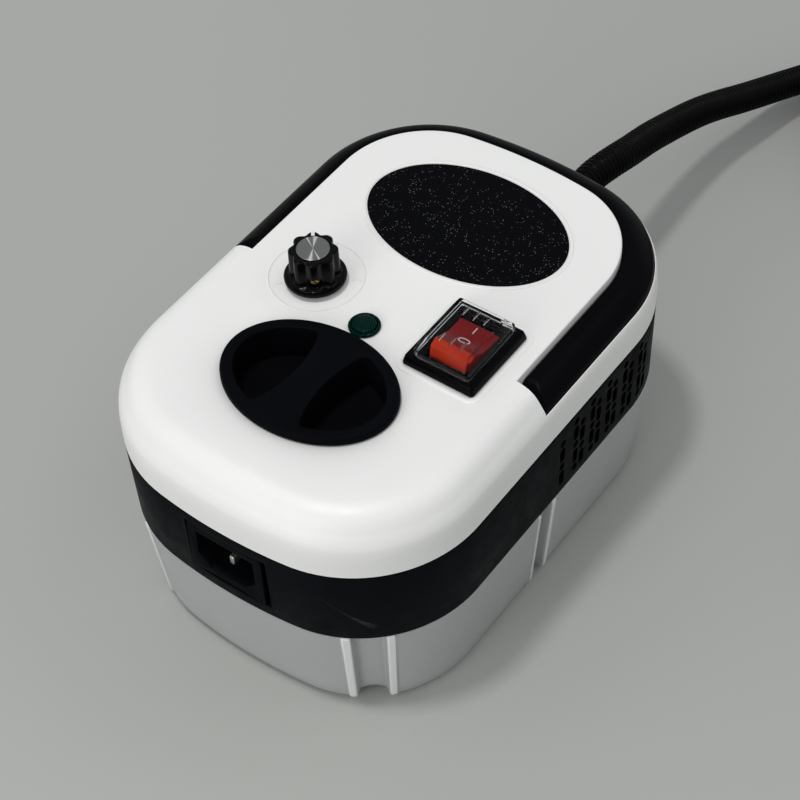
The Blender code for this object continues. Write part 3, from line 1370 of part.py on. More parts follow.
def make_gun_half(name, side):
    wall, edge = GUN_WALL, GUN_EDGE_ROUND
    levels = [
        (edge + wall, GUN_HALF_THICKNESS - wall),
        (edge * 0.35 + wall, GUN_HALF_THICKNESS - wall - edge * 0.3),
        (wall, GUN_HALF_THICKNESS - wall - edge),
        (wall, FIT_GAP / 2),
        (0, FIT_GAP / 2),
        (0, GUN_HALF_THICKNESS - edge),
        (edge * 0.35, GUN_HALF_THICKNESS - edge * 0.35),
        (edge, GUN_HALF_THICKNESS),
    ]
    half = stacked(name, [(gun_outline(inset), side * z) for inset, z in levels], "white_shell")
    start = GUN_RELIEF_LENGTH + GUN_LENGTH * TRIGGER_START_SHARE
    end = GUN_RELIEF_LENGTH + GUN_LENGTH * TRIGGER_END_SHARE
    depth = TRIGGER_THICKNESS / 2 + 2 * FIT_GAP
    slot_start = start - TRIGGER_CLEARANCE
    slot = block(
        "trigger_slot", (slot_start, -GUN_HALF_WIDTH - OVERRUN, -depth), (end, -GUN_HALF_WIDTH / 2, depth)
    )
    hose_way = rod(
        "hose_way", STEAM_TUBE_RADIUS + FIT_GAP, (GUN_RELIEF_LENGTH - OVERRUN, 0, 0),
        (GUN_RELIEF_LENGTH + OVERRUN, 0, 0), sides=SMALL_SIDES,
    )
    front = GUN_RELIEF_LENGTH + FIT_GAP + GUN_LENGTH
    nozzle_way = rod(
        "nozzle_way", STEAM_TUBE_RADIUS + FIT_GAP, (front - OVERRUN, 0, 0), (front + OVERRUN, 0, 0),
        sides=SMALL_SIDES
    )
    cut(half, slot, hose_way, nozzle_way)
    return [half, slot, hose_way, nozzle_way]


def make_gun():
    """Steam gun: split hollow grip, sprung trigger, valve, steam tube and nozzle."""
    pieces = make_gun_half("gun_body_upper", 1) + make_gun_half("gun_body_lower", -1)
    bore, relief = STEAM_TUBE_RADIUS + FIT_GAP, GUN_RELIEF_RADIUS
    profile = [
        (bore, GUN_RELIEF_LENGTH), (relief, GUN_RELIEF_LENGTH), (relief, GUN_RELIEF_LENGTH * 0.8),
        (relief * 0.85, 0), (bore, 0),
    ]
    pieces.append(turned("gun_strain_relief", profile, (0, 0, 0), (1, 0, 0), "black_plastic", sides=16))
    body_end = GUN_RELIEF_LENGTH + FIT_GAP + GUN_LENGTH
    end = body_end + FIT_GAP + COLLAR_LENGTH
    tip = end + FIT_GAP + NOZZLE_LENGTH
    collar = [
        (bore, end), (COLLAR_RADIUS * 0.8, end), (COLLAR_RADIUS, end - COLLAR_LENGTH * 0.3),
        (COLLAR_RADIUS, body_end + FIT_GAP), (bore, body_end + FIT_GAP),
    ]
    pieces.append(turned("gun_nozzle_collar", collar, (0, 0, 0), (1, 0, 0), "black_plastic", sides=16))
    jet = NOZZLE_BORE_RADIUS
    nozzle = [
        (jet, tip), (NOZZLE_TIP_RADIUS, tip), (NOZZLE_RADIUS, tip - NOZZLE_LENGTH * 0.6),
        (NOZZLE_RADIUS, end + FIT_GAP), (jet, end + FIT_GAP),
    ]
    pieces.append(turned("gun_nozzle", nozzle, (0, 0, 0), (1, 0, 0), "brass", sides=16))
    trigger_end = GUN_RELIEF_LENGTH + GUN_LENGTH * TRIGGER_END_SHARE
    valve_start = trigger_end + VALVE_RADIUS
    valve = rod("gun_valve", VALVE_RADIUS, (valve_start, 0, 0), (valve_start + VALVE_LENGTH, 0, 0), "brass")
    aside = GUN_HALF_WIDTH * 0.35
    line = smooth_line(
        [
            (GUN_RELIEF_LENGTH * 0.4, 0, 0), (GUN_RELIEF_LENGTH * 0.9, 0, 0),
            (GUN_RELIEF_LENGTH * 1.3, 0, 0),
            (GUN_RELIEF_LENGTH * 2.2, aside, 0), (trigger_end - GUN_HALF_WIDTH, aside, 0),
            (valve_start - VALVE_RADIUS, 0, 0), (valve_start + VALVE_RADIUS, 0, 0),
        ],
        NOZZLE_RADIUS * 2,
    )
    inlet = tube("inlet_tube", line, STEAM_TUBE_RADIUS, None, 1)
    outlet = rod(
        "outlet_tube", STEAM_TUBE_RADIUS, (valve_start + VALVE_RADIUS, 0, 0), (end, 0, 0), sides=SMALL_SIDES
    )
    unite(valve, inlet, outlet)
    pieces += [valve, inlet, outlet]
    pieces += make_trigger(trigger_end)
    frame = gun_frame()
    for piece in pieces:
        piece.matrix_basis = frame @ piece.matrix_basis
    pivot = frame @ Vector((*trigger_pivot(trigger_end), 0))
    trigger = bpy.data.objects["gun_trigger"]
    trigger.data.transform(trigger.matrix_basis)
    trigger.matrix_basis = Matrix.Identity(4)
    seat_origin(trigger, pivot)
    hang(joint_empty("trigger_joint", pivot, math.atan2(frame[1][0], frame[0][0])), trigger)


def trigger_pivot(end):
    return end - TRIGGER_ROOT, -GUN_HALF_WIDTH * 0.45


def make_trigger(end):
    start = GUN_RELIEF_LENGTH + GUN_LENGTH * TRIGGER_START_SHARE
    pivot = trigger_pivot(end)
    length = end - start
    side = GUN_HALF_WIDTH
    stand = TRIGGER_STAND
    outline = [
        (start + 2 * TRIGGER_PIVOT_RADIUS, -side * 0.78), (start + 2 * FIT_GAP, -side - stand * 0.55),
        (start + length * 0.06, -side - stand * 0.9), (start + length * 0.2, -side - stand),
        (start + length * 0.45, -side - stand * 0.75), (start + length * 0.75, -side - stand * 0.35),
        (end - 2 * FIT_GAP, -side * 0.86), (pivot[0] + TRIGGER_ROOT * 0.7, pivot[1] + TRIGGER_ROOT * 0.4),
        (pivot[0] - TRIGGER_ROOT * 0.6, pivot[1] + TRIGGER_ROOT * 0.9),
        (start + length * 0.5, -side * 0.60),
    ]
    half = TRIGGER_THICKNESS / 2
    trigger = plate("gun_trigger", outline, -half, half, "black_plastic")
    reach = GUN_HALF_THICKNESS - GUN_WALL - GUN_EDGE_ROUND * 0.8
    bore = rod(
        "trigger_bore", TRIGGER_PIVOT_RADIUS + FIT_GAP, (*pivot, -half * 2), (*pivot, half * 2), sides=16
    )
    pin = rod("gun_trigger_pin", TRIGGER_PIVOT_RADIUS, (*pivot, -reach), (*pivot, reach), "steel", sides=16)
    cut(trigger, bore)
    curl = []
    for i in range(SPRING_STEPS * 2 + 1):
        angle = 2 * math.pi * i / SPRING_STEPS
        height = half + FIT_GAP + SPRING_WIRE_RADIUS * (1 + 0.4 * i)
        curl.append(
            (pivot[0] + SPRING_RADIUS * math.cos(angle), pivot[1] + SPRING_RADIUS * math.sin(angle), height)
        )
    spring = tube("gun_trigger_spring", curl, SPRING_WIRE_RADIUS, "steel", 0)
    return [trigger, bore, pin, spring]


def suction_place():
    return PUMP_X, PUMP_START_Y - PUMP_TAIL_LENGTH - PUMP_TIP_LENGTH - 3 * SUCTION_RADIUS


def make_pump():
    """Solenoid pump with rubber mounts, its suction tube into the tank and the feed to the boiler."""
    half = PUMP_COIL_SIZE / 2
    middle = FLOOR_TOP + MOUNT_HEIGHT + 2 * FIT_GAP + half
    start, end = PUMP_START_Y, PUMP_START_Y + PUMP_COIL_LENGTH
    tail, nose = start - PUMP_TAIL_LENGTH, end + PUMP_NOSE_LENGTH
    bobbin = block(
        "pump_coil", (PUMP_X - half, start, middle - half), (PUMP_X + half, end, middle + half), "steel"
    )
    gap = FIT_GAP
    way = rod(
        "barrel_way", PUMP_BARREL_RADIUS + gap, (PUMP_X, start - gap, middle), (PUMP_X, end + gap, middle)
    )
    cut(bobbin, way)
    profile = [
        (0, nose + PUMP_TIP_LENGTH), (PUMP_TIP_RADIUS, nose + PUMP_TIP_LENGTH), (PUMP_TIP_RADIUS, nose),
        (PUMP_BARREL_RADIUS, nose), (PUMP_BARREL_RADIUS, tail), (PUMP_TIP_RADIUS, tail),
        (PUMP_TIP_RADIUS, tail - PUMP_TIP_LENGTH), (0, tail - PUMP_TIP_LENGTH),
    ]
    turned("pump_barrel", profile, (PUMP_X, 0, middle), (0, 1, 0), "brass")
    low = FLOOR_TOP + FIT_GAP
    cradle = block(
        "pump_cradle", (PUMP_X - half, start, low), (PUMP_X + half, end, low + MOUNT_HEIGHT), "rubber"
    )
    gap = MOUNT_HEIGHT / 2
    groove = block(
        "cradle_groove", (PUMP_X - half / 2, start - OVERRUN, low - OVERRUN),
        (PUMP_X + half / 2, end + OVERRUN, low + gap)
    )
    cut(cradle, groove)
    x, y = suction_place()
    from_y = tail - PUMP_TIP_LENGTH - FIT_GAP
    strainer_low = TANK_WALL + STRAINER_LIFT
    elbow = [
        (x, from_y - SUCTION_RADIUS, middle), (x, y + SUCTION_RADIUS, middle),
        (x, y, middle - 3 * SUCTION_RADIUS),
        (x, y, TANK_HEIGHT),
    ]
    line = [Vector((x, from_y, middle)), *smooth_line(elbow, SUCTION_RADIUS * 1.5)]
    tube(
        "suction_tube", [*line, Vector((x, y, strainer_low + STRAINER_LENGTH / 2))], SUCTION_RADIUS,
        "silicone", 2,
    )
    bore = SUCTION_RADIUS + FIT_GAP
    strainer = [
        (bore, STRAINER_LENGTH), (STRAINER_RADIUS, STRAINER_LENGTH), (STRAINER_RADIUS, 0), (bore, 0),
    ]
    turned("suction_strainer", strainer, (x, y, strainer_low), (0, 0, 1), "black_plastic", sides=16)
    boiler_side = BOILER_X - BOILER_WIDTH / 2
    out = nose + PUMP_TIP_LENGTH + 2 * FIT_GAP
    bend = PIPE_RADIUS * 2.5
    entry = out - bend / 2
    feed = [
        (PUMP_X, out, middle), (PUMP_X, out + bend, middle), (PUMP_X + bend, out + 1.6 * bend, middle),
        (PUMP_X + 2 * bend, out + bend, middle), (boiler_side - bend, entry, middle),
        (boiler_side - bend / 2, entry, middle), (boiler_side - 2 * FIT_GAP, entry, middle),
    ]
    tube("feed_tube", smooth_line(feed, PIPE_RADIUS * 1.5), PIPE_RADIUS, "silicone", 1)


def make_boiler():
    """Aluminium boiler on its studs, with its heater element, thermostat, relief valve and steam pipe."""
    left, right = BOILER_X - BOILER_WIDTH / 2, BOILER_X + BOILER_WIDTH / 2
    start, end = BOILER_START_Y, BOILER_START_Y + BOILER_LENGTH
    low = FLOOR_TOP + BOILER_STUD_HEIGHT + 2 * FIT_GAP
    top = low + BOILER_HEIGHT
    boiler = block(
        "boiler_block", (left, start, low), (right, end, top), "aluminium", rounding=BOILER_ROUND / 2
    )
    inset = BOILER_STUD_RADIUS * 3
    for x in (left + inset, right - inset):
        for y in (start + inset, end - inset):
            foot = FLOOR_TOP + FIT_GAP
            unite(boiler, rod("stud", BOILER_STUD_RADIUS, (x, y, foot), (x, y, low + inset / 2), sides=8))
    half, z = HEATER_SPACING / 2, (low + top) / 2
    back = end - BOILER_LENGTH * 0.3
    bend = [
        (BOILER_X - half * math.cos(math.pi * i / 6), back + half * 0.6 * math.sin(math.pi * i / 6), z)
        for i in range(7)
    ]
    front = start - HEATER_PIN_LENGTH
    line = [(BOILER_X - half, front, z), *bend, (BOILER_X + half, front, z)]
    tube("heater_element", line, HEATER_PIN_RADIUS, "steel", 1)
    cut(boiler, tube("heater_way", line, HEATER_PIN_RADIUS + FIT_GAP, None, 1))
    disc = (BOILER_X + BOILER_WIDTH / 5, start + BOILER_LENGTH / 3, top + FIT_GAP)
    rod("thermostat", DISC_RADIUS, disc, (disc[0], disc[1], disc[2] + DISC_HEIGHT), "steel")
    valve = (left + BOILER_WIDTH * 0.2, start + BOILER_LENGTH * 0.25, top + FIT_GAP)
    profile = [
        (0, DISC_HEIGHT * 1.6), (VALVE_STEM_RADIUS, DISC_HEIGHT * 1.6), (VALVE_STEM_RADIUS, DISC_HEIGHT),
        (VALVE_STEM_RADIUS * 2, DISC_HEIGHT), (VALVE_STEM_RADIUS * 2, 0), (0, 0),
    ]
    turned("relief_valve", profile, valve, (0, 0, 1), "brass", sides=12)
    thread_end = HALF_LENGTH - CASE_WALL - BAND_DRAFT - GLAND_NUT_LENGTH - 3 * FIT_GAP
    rod(
        "steam_pipe", PIPE_RADIUS, (0, end + FIT_GAP, BAND_MIDDLE), (0, thread_end - FIT_GAP, BAND_MIDDLE),
        "brass",
        sides=16,
    )


def board_posts():
    """Moulded posts under the corners of the control board."""
    half_x, half_y = BOARD_WIDTH / 2, BOARD_LENGTH / 2
    inset = BLADE_WIDTH / 2
    top = FLOOR_TOP + BOARD_LIFT - FIT_GAP
    posts = []
    for x in (BOARD_X - half_x + inset, BOARD_X + half_x - inset):
        for y in (BOARD_Y - half_y + inset, BOARD_Y + half_y - inset):
            posts.append(rod("post", inset / 2, (x, y, FLOOR_TOP - CASE_WALL / 2), (x, y, top), sides=8))
    return posts


def make_control_board():
    low = FLOOR_TOP + BOARD_LIFT
    half_x, half_y = BOARD_WIDTH / 2, BOARD_LENGTH / 2
    board = block(
        "control_board", (BOARD_X - half_x, BOARD_Y - half_y, low),
        (BOARD_X + half_x, BOARD_Y + half_y, low + BOARD_THICKNESS), "board",
    )
    sunk = low + BOARD_THICKNESS / 2
    relay = block(
        "relay", (BOARD_X - half_x * 0.7, BOARD_Y - half_y * 0.75, sunk),
        (BOARD_X + half_x * 0.2, BOARD_Y - half_y * 0.1, sunk + BOARD_LIFT),
    )
    middle_y = BOARD_Y + half_y * 0.35
    store = rod(
        "capacitor", BOARD_WIDTH * 0.18, (BOARD_X, middle_y, sunk),
        (BOARD_X, middle_y, sunk + BOARD_LIFT * 1.3)
    )
    socket = block(
        "socket", (BOARD_X - half_x * 0.6, BOARD_Y + half_y * 0.7, sunk),
        (BOARD_X + half_x * 0.6, BOARD_Y + half_y * 0.9, sunk + BOARD_LIFT * 0.6),
    )
    unite(board, relay, store, socket)


def make_wiring():
    """Leads from the inlet to the switch and on to the heater."""
    tail_y = INLET_RECESS - HALF_LENGTH + INLET_BODY_DEPTH + INLET_PIN_TAIL + FIT_GAP + WIRE_RADIUS
    live_z = BAND_MIDDLE + INLET_PIN_OFFSET
    blade_z = PANEL_TOP - SWITCH_BODY_DEPTH + BLADE_THICKNESS - BLADE_LENGTH - FIT_GAP
    side = INLET_PIN_SPACING
    blade_front = SWITCH_Y - SWITCH_BODY_LENGTH / 4
    blade_rear = SWITCH_Y + SWITCH_BODY_LENGTH / 4
    heater_x = BOILER_X + HEATER_SPACING / 2
    heater_y = BOILER_START_Y - HEATER_PIN_LENGTH - FIT_GAP - WIRE_RADIUS
    heater_z = FLOOR_TOP + BOILER_STUD_HEIGHT + 2 * FIT_GAP + BOILER_HEIGHT / 2
    runs = {
        "live_lead": [
            (side, tail_y, live_z), (side * 1.6, tail_y + side, live_z), (SWITCH_X, FILLER_Y, live_z),
            (SWITCH_X, blade_front - side, live_z + side / 2), (SWITCH_X, blade_front, blade_z),
        ],
        "heater_lead": [
            (SWITCH_X, blade_rear, blade_z),
            ((SWITCH_X + heater_x) / 2, blade_rear + side * 0.3, blade_z - side),
            (heater_x, heater_y - side * 0.3, heater_z + side * 0.2), (heater_x, heater_y, heater_z),
        ],
    }
    for name, run in runs.items():
        tube(name, smooth_line(run, side), WIRE_RADIUS, "wire_red", 0)


def make_case_screws():
    """Screws that go up through the floor into the lid's pillars."""
    low = TANK_HEIGHT + FIT_GAP
    profile = [
        (0, SCREW_LENGTH), (SCREW_RADIUS, SCREW_LENGTH), (SCREW_RADIUS, SCREW_HEAD_HEIGHT),
        (SCREW_HEAD_RADIUS, SCREW_HEAD_HEIGHT), (SCREW_HEAD_RADIUS, 0), (0, 0),
    ]
    for index, (x, y) in enumerate(boss_places()):
        turned(f"case_screw_{index + 1}", profile, (x, y, low), (0, 0, 1), "steel", sides=10)


def main():
    start_scene()
    make_water_tank()
    make_mid_shell()
    make_top_shell()
    make_handle()
    make_filler_cap()
    make_filler_neck()
    make_label_plate()
    make_knob()
    make_potentiometer()
    make_lamp()
    make_switch()
    make_inlet()
    make_pump()
    make_boiler()
    make_control_board()
    make_wiring()
    make_case_screws()
    make_hose()
    make_hose_tie()
    make_gun()
    bpy.context.view_layer.update()


main()
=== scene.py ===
"""Looks of a steam cleaner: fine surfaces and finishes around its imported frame, in metres with +Z up."""

import math
from collections import namedtuple

import bmesh
import bpy
from mathutils import Matrix, Vector


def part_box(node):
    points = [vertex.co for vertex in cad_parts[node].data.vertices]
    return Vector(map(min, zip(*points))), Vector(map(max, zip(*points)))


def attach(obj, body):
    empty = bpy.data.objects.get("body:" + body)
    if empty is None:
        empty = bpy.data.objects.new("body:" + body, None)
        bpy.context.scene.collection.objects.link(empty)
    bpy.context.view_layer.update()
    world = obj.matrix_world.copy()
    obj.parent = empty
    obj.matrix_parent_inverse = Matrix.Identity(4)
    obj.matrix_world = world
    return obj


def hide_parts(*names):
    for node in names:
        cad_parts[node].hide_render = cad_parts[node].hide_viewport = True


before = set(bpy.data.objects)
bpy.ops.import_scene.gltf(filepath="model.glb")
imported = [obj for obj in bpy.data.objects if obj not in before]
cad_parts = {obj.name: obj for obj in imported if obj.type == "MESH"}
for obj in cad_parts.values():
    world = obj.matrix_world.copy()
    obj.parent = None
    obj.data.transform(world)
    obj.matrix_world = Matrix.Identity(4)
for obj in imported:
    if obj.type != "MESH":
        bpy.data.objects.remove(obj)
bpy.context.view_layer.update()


def centre_of(name):
    """Middle of a node's box."""
    low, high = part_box(name)
    return (low + high) / 2


# Photograph's camera
CAMERA_PLACE = (0.31987, -0.39812, 0.62979)
CAMERA_RIGHT = (0.80831, 0.58729, -0.04155)
CAMERA_UP = (-0.41938, 0.62387, 0.65947)
CAMERA_BACK = (0.41322, -0.51563, 0.75058)
CAMERA_LENS = 97.36
SENSOR = 36.0
FLOOR_HALF = 12.0
LIGHT_AIM = (0, 0, 0.05)

# Case outline and levels
HALF_WIDTH, HALF_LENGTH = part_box("mid_shell")[1].xy
CORNER_RADIUS = 0.0483
END_RADIUS = 0.2055
CORNER_STEPS = 26
END_STEPS = 12
SIDE_STEPS = 9
TANK_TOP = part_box("mid_shell")[0].z
PANEL_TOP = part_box("top_shell")[1].z
BAND_HEIGHT = 0.0339
BAND_TOP = TANK_TOP + BAND_HEIGHT
BAND_MIDDLE = TANK_TOP + BAND_HEIGHT / 2
LID_RISE = PANEL_TOP - BAND_TOP
WALL = 0.0022
GAP = 0.0003
EDGE = 0.0004
BAND_DRAFT = 0.0008
OVERRUN = 0.004
WELD = 0.000002

# Lid
PANEL_INSET = 0.0130
PANEL_HOLD = 0.0145
RIM_WALL = 0.0013
RIM_DROP = 0.0102
CHANNEL_FLOOR = PANEL_TOP - 0.0180
CHANNEL_END_Y = -0.0069
CHANNEL_FILLET = 0.0008
PANEL_FILLET = 0.0007
SHOULDER_SHARES = (
    (0, 0.05), (0, 0.34), (0.024, 0.50), (0.067, 0.587), (0.15, 0.676), (0.23, 0.74), (0.338, 0.826),
    (0.446, 0.891), (0.585, 0.943), (0.738, 0.976), (0.88, 0.994), (1.03, 1.0),
)
RIM_SHARE_INDEX = 3
INNER_SHARES = ((1.0, 0.95), (0.68, 0.91), (0.53, 0.86), (0.34, 0.72), (0.20, 0.42), (0.185, 0.05))

# Things on the panel
FILLER_Y = -0.0458
CAP_LOW, CAP_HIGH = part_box("filler_cap")
CAP_HALF = (CAP_HIGH.x, (CAP_HIGH.y - CAP_LOW.y) / 2)
CAP_RIM = 0.0045
OPENING_INSET = CAP_RIM * 0.6
LABEL_Y = 0.0447
LABEL_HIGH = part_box("label_plate")[1]
LABEL_HALF = (LABEL_HIGH.x, LABEL_HIGH.y - LABEL_Y)
KNOB_LOW, KNOB_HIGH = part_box("control_knob")
KNOB_X, KNOB_Y = centre_of("control_knob").xy
POINTER = math.radians(127.6)
LAMP_LOW, LAMP_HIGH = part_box("lamp_lens")
SWITCH_LOW, SWITCH_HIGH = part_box("switch_housing")
SWITCH_X, SWITCH_Y = centre_of("switch_housing").xy
SWITCH_WIDTH = SWITCH_HIGH.x - SWITCH_LOW.x
SWITCH_LENGTH = SWITCH_HIGH.y - SWITCH_LOW.y


def smooth(points, steps):
    """Points on a smooth curve through the given ones, with steps to each stretch."""
    given = [Vector(p) for p in points]
    padded = [given[0] * 2 - given[1], *given, given[-1] * 2 - given[-2]]
    curve = []
    for a, b, c, d in zip(padded, padded[1:], padded[2:], padded[3:], strict=False):
        for i in range(steps):
            t = i / steps
            square, cube = (2 * a - 5 * b + 4 * c - d) * t**2, (3 * b - a - 3 * c + d) * t**3
            curve.append(0.5 * (2 * b + (c - a) * t + square + cube))
    curve.append(given[-1])
    return curve


def lengths_along(points):
    """Distance from the first point to each point, along the line."""
    lengths = [0.0]
    for a, b in zip(points, points[1:], strict=False):
        lengths.append(lengths[-1] + (b - a).length)
    return lengths


def at_shares(points, shares):
    """Points at the given shares of a line's length."""
    lengths = lengths_along(points)
    found, at = [], 0
    for share in shares:
        target = lengths[-1] * share
        while at < len(points) - 2 and lengths[at + 1] < target:
            at += 1
        part = (target - lengths[at]) / max(lengths[at + 1] - lengths[at], WELD)
        found.append(points[at].lerp(points[at + 1], min(part, 1)))
    return found


def evenly(points, spacing):
    """Points along a line, as near to a spacing as its length allows."""
    count = round(lengths_along(points)[-1] / spacing)
    return at_shares(points, [i / count for i in range(count + 1)])


def quarter_turn(steps):
    return [math.pi / 2 * i / steps for i in range(steps + 1)]


def full_turn(steps):
    return [math.tau * i / steps for i in range(steps)]


def fillet(corner, before, after, radius, steps=4):
    """Round the corner between two directions of a flat line."""
    corner, before, after = Vector(corner), Vector(before).normalized(), Vector(after).normalized()
    start, end = corner - before * radius, corner + after * radius
    points = []
    for i in range(steps + 1):
        t = i / steps
        points.append(start * (1 - t) ** 2 + corner * 2 * t * (1 - t) + end * t**2)
    return points


def skin(rings, closed=True, closed_along=False):
    """Bend a grid through rings that have the same number of points, and weld where it meets itself."""
    across, along = len(rings[0]), len(rings)
    columns = across + 1 if closed else across
    rows = along + 1 if closed_along else along
    shape = bmesh.new()
    bmesh.ops.create_grid(shape, x_segments=columns - 1, y_segments=rows - 1, size=1)
    for index, vert in enumerate(shape.verts):
        row, column = divmod(index, columns)
        vert.co = rings[row % along][column % across]
    bmesh.ops.remove_doubles(shape, verts=shape.verts, dist=WELD)
    return shape


def close_ends(shape):
    """Fill the open ends of a shape."""
    bmesh.ops.holes_fill(shape, edges=[e for e in shape.edges if e.is_boundary], sides=0)
    return shape


def bevel_edges(shape, edges, width, segments):
    """Round some edges of a shape that isn't an object yet."""
    bmesh.ops.bevel(
        shape, geom=edges, offset=width, offset_type="OFFSET", segments=segments, profile=0.5,
        affect="EDGES", material=-1, clamp_overlap=True,
    )


def add_object(name, shape, finish=None):
    """Turn a shape into an object with its normals outward."""
    bmesh.ops.recalc_face_normals(shape, faces=shape.faces)
    mesh = bpy.data.meshes.new(name)
    shape.to_mesh(mesh)
    shape.free()
    obj = bpy.data.objects.new(name, mesh)
    bpy.context.scene.collection.objects.link(obj)
    if finish:
        mesh.materials.append(finish)
    return obj


def apply_modifiers(obj):
    settled = obj.evaluated_get(bpy.context.evaluated_depsgraph_get())
    mesh = bpy.data.meshes.new_from_object(settled)
    obj.modifiers.clear()
    obj.data = mesh


def settle(obj, body, *nodes, sharp=35):
    """Finish an object's mesh, smooth but for its sharp edges, and let it ride for what it replaces."""
    apply_modifiers(obj)
    obj.data.shade_smooth()
    obj.data.set_sharp_from_angle(angle=math.radians(sharp))
    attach(obj, body)
    if nodes:
        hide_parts(*nodes)
    return obj


def settle_mark(obj, body):
    """Settle a small piece that replaces no node."""
    settle(obj, body, sharp=50)


def carve(obj, *cutters, operation="DIFFERENCE"):
    """Cut shapes out of an object, or unite them with it, and remove the cutters."""
    for cutter in cutters:
        change = obj.modifiers.new(cutter.name, "BOOLEAN")
        change.operation = operation
        change.solver = "EXACT"
        change.object = cutter
    bpy.context.view_layer.update()
    apply_modifiers(obj)
    for cutter in cutters:
        bpy.data.objects.remove(cutter)


def round_edges(obj, width, angle=40, segments=2):
    bevel = obj.modifiers.new("round_edges", "BEVEL")
    bevel.width = width
    bevel.segments = segments
    bevel.limit_method = "ANGLE"
    bevel.angle_limit = math.radians(angle)
    bevel.use_clamp_overlap = True
    return obj


def block(name, low, high, finish=None):
    low, high = Vector(low), Vector(high)
    shape = bmesh.new()
    bmesh.ops.create_cube(shape, size=1)
    bmesh.ops.scale(shape, vec=high - low, verts=shape.verts)
    bmesh.ops.translate(shape, vec=(low + high) / 2, verts=shape.verts)
    return add_object(name, shape, finish)


def toward(start, axis):
    """Matrix that stands a shape made along +Z at a point, along an axis."""
    turn = Vector(axis).to_track_quat("Z", "Y").to_matrix().to_4x4()
    return Matrix.Translation(start) @ turn


def turned(name, profile, start, axis, finish=None, steps=48):
    """Spin a profile of (radius, height) points about an axis."""
    shape = bmesh.new()
    verts = [shape.verts.new((radius, 0, height)) for radius, height in profile]
    edges = [shape.edges.new(pair) for pair in zip(verts, verts[1:], strict=False)]
    bmesh.ops.spin(
        shape, geom=verts + edges, cent=(0, 0, 0), axis=(0, 0, 1), dvec=(0, 0, 0), angle=math.tau,
        steps=steps, use_merge=True, use_normal_flip=False, use_duplicate=False,
    )
    bmesh.ops.remove_doubles(shape, verts=shape.verts, dist=WELD)
    bmesh.ops.transform(shape, matrix=toward(start, axis), verts=shape.verts)
    return add_object(name, close_ends(shape), finish)


def rod(name, radius, length, start, axis, steps=48):
    """Round bar that cuts a hole."""
    return turned(name, [(radius, 0), (radius, length)], start, axis, steps=steps)


def prism(name, outline, low, high, finish=None, upright=False, round_rim=0.0):
    """Flat (x, y) outline made thick along Z, or an upright (x, z) one made thick along Y."""
    shape = bmesh.new()
    verts = [shape.verts.new((u, v, low)) for u, v in outline]
    face = shape.faces.new(verts)
    bmesh.ops.extrude_face_region(shape, geom=[face], use_keep_orig=True)
    shape.verts.ensure_lookup_table()
    bmesh.ops.translate(shape, vec=(0, 0, high - low), verts=shape.verts[len(outline):])
    if round_rim:
        rims = [e for e in shape.edges if abs(e.verts[0].co.z - e.verts[1].co.z) < WELD]
        bevel_edges(shape, rims, round_rim, 3)
    if upright:
        swap = Matrix(((1, 0, 0, 0), (0, 0, 1, 0), (0, 1, 0, 0), (0, 0, 0, 1)))
        bmesh.ops.transform(shape, matrix=swap, verts=shape.verts)
    return add_object(name, shape, finish)


def rounded_rectangle(centre, width, length, radius, steps=6):
    points = []
    for quadrant, (sx, sy) in enumerate(((1, 1), (-1, 1), (-1, -1), (1, -1))):
        for i in range(steps + 1):
            angle = math.pi / 2 * (quadrant + i / steps)
            x = centre[0] + sx * (width / 2 - radius) + radius * math.cos(angle)
            points.append((x, centre[1] + sy * (length / 2 - radius) + radius * math.sin(angle)))
    return points


def circle(centre, radius, steps):
    turns = full_turn(steps)
    return [(centre[0] + radius * math.cos(t), centre[1] + radius * math.sin(t)) for t in turns]


def oval(half_width, half_length, centre_y, z, steps):
    turns = full_turn(steps)
    return [Vector((half_width * math.cos(t), centre_y + half_length * math.sin(t), z)) for t in turns]


# Outline of the case

CORNER_X = HALF_WIDTH - CORNER_RADIUS
END_CENTRE_Y = HALF_LENGTH - END_RADIUS
CORNER_Y = END_CENTRE_Y + math.sqrt((END_RADIUS - CORNER_RADIUS) ** 2 - CORNER_X**2)
CORNER_SWEEP = math.atan2(CORNER_Y - END_CENTRE_Y, CORNER_X)
END_SWEEP = math.pi / 2 - CORNER_SWEEP

# Place on the outline and its outward normal, whether it is on the rear half and where that half
# begins, and the depth, the raised foot and the lip of a flute there
Station = namedtuple("Station", "at out rear split depth foot lip", defaults=(False, 0.0, 0.0, False))


def station(angle, sign_x, sign_y, *flute_there):
    """Station on a corner or an end; the angle runs from a side to an end's middle."""
    cosine, sine = math.cos(angle), math.sin(angle)
    if angle <= CORNER_SWEEP:
        x, y = CORNER_X + CORNER_RADIUS * cosine, CORNER_Y + CORNER_RADIUS * sine
    else:
        x, y = END_RADIUS * cosine, END_CENTRE_Y + END_RADIUS * sine
    at, out = Vector((sign_x * x, sign_y * y)), Vector((sign_x * cosine, sign_y * sine))
    return Station(at, out, sign_y > 0, False, *flute_there)


def side_station(sign_x, y, rear=False, split=False, *flute_there):
    return Station(Vector((sign_x * HALF_WIDTH, y)), Vector((sign_x, 0)), rear, split, *flute_there)


def quarter_angles(end_steps):
    """Angles of the stations on a corner and half an end."""
    bend = [CORNER_SWEEP * i / CORNER_STEPS for i in range(CORNER_STEPS + 1)]
    return bend + [CORNER_SWEEP + END_SWEEP * (i + 1) / end_steps for i in range(end_steps)]


def half_loop(rear):
    """Stations round one end, from the right side to the left at the rear and back again at the front."""
    angles = quarter_angles(END_STEPS)
    first, second, sign_y = (1, -1, 1) if rear else (-1, 1, -1)
    start = [station(a, first, sign_y) for a in angles]
    return start + [station(a, second, sign_y) for a in reversed(angles[:-1])]


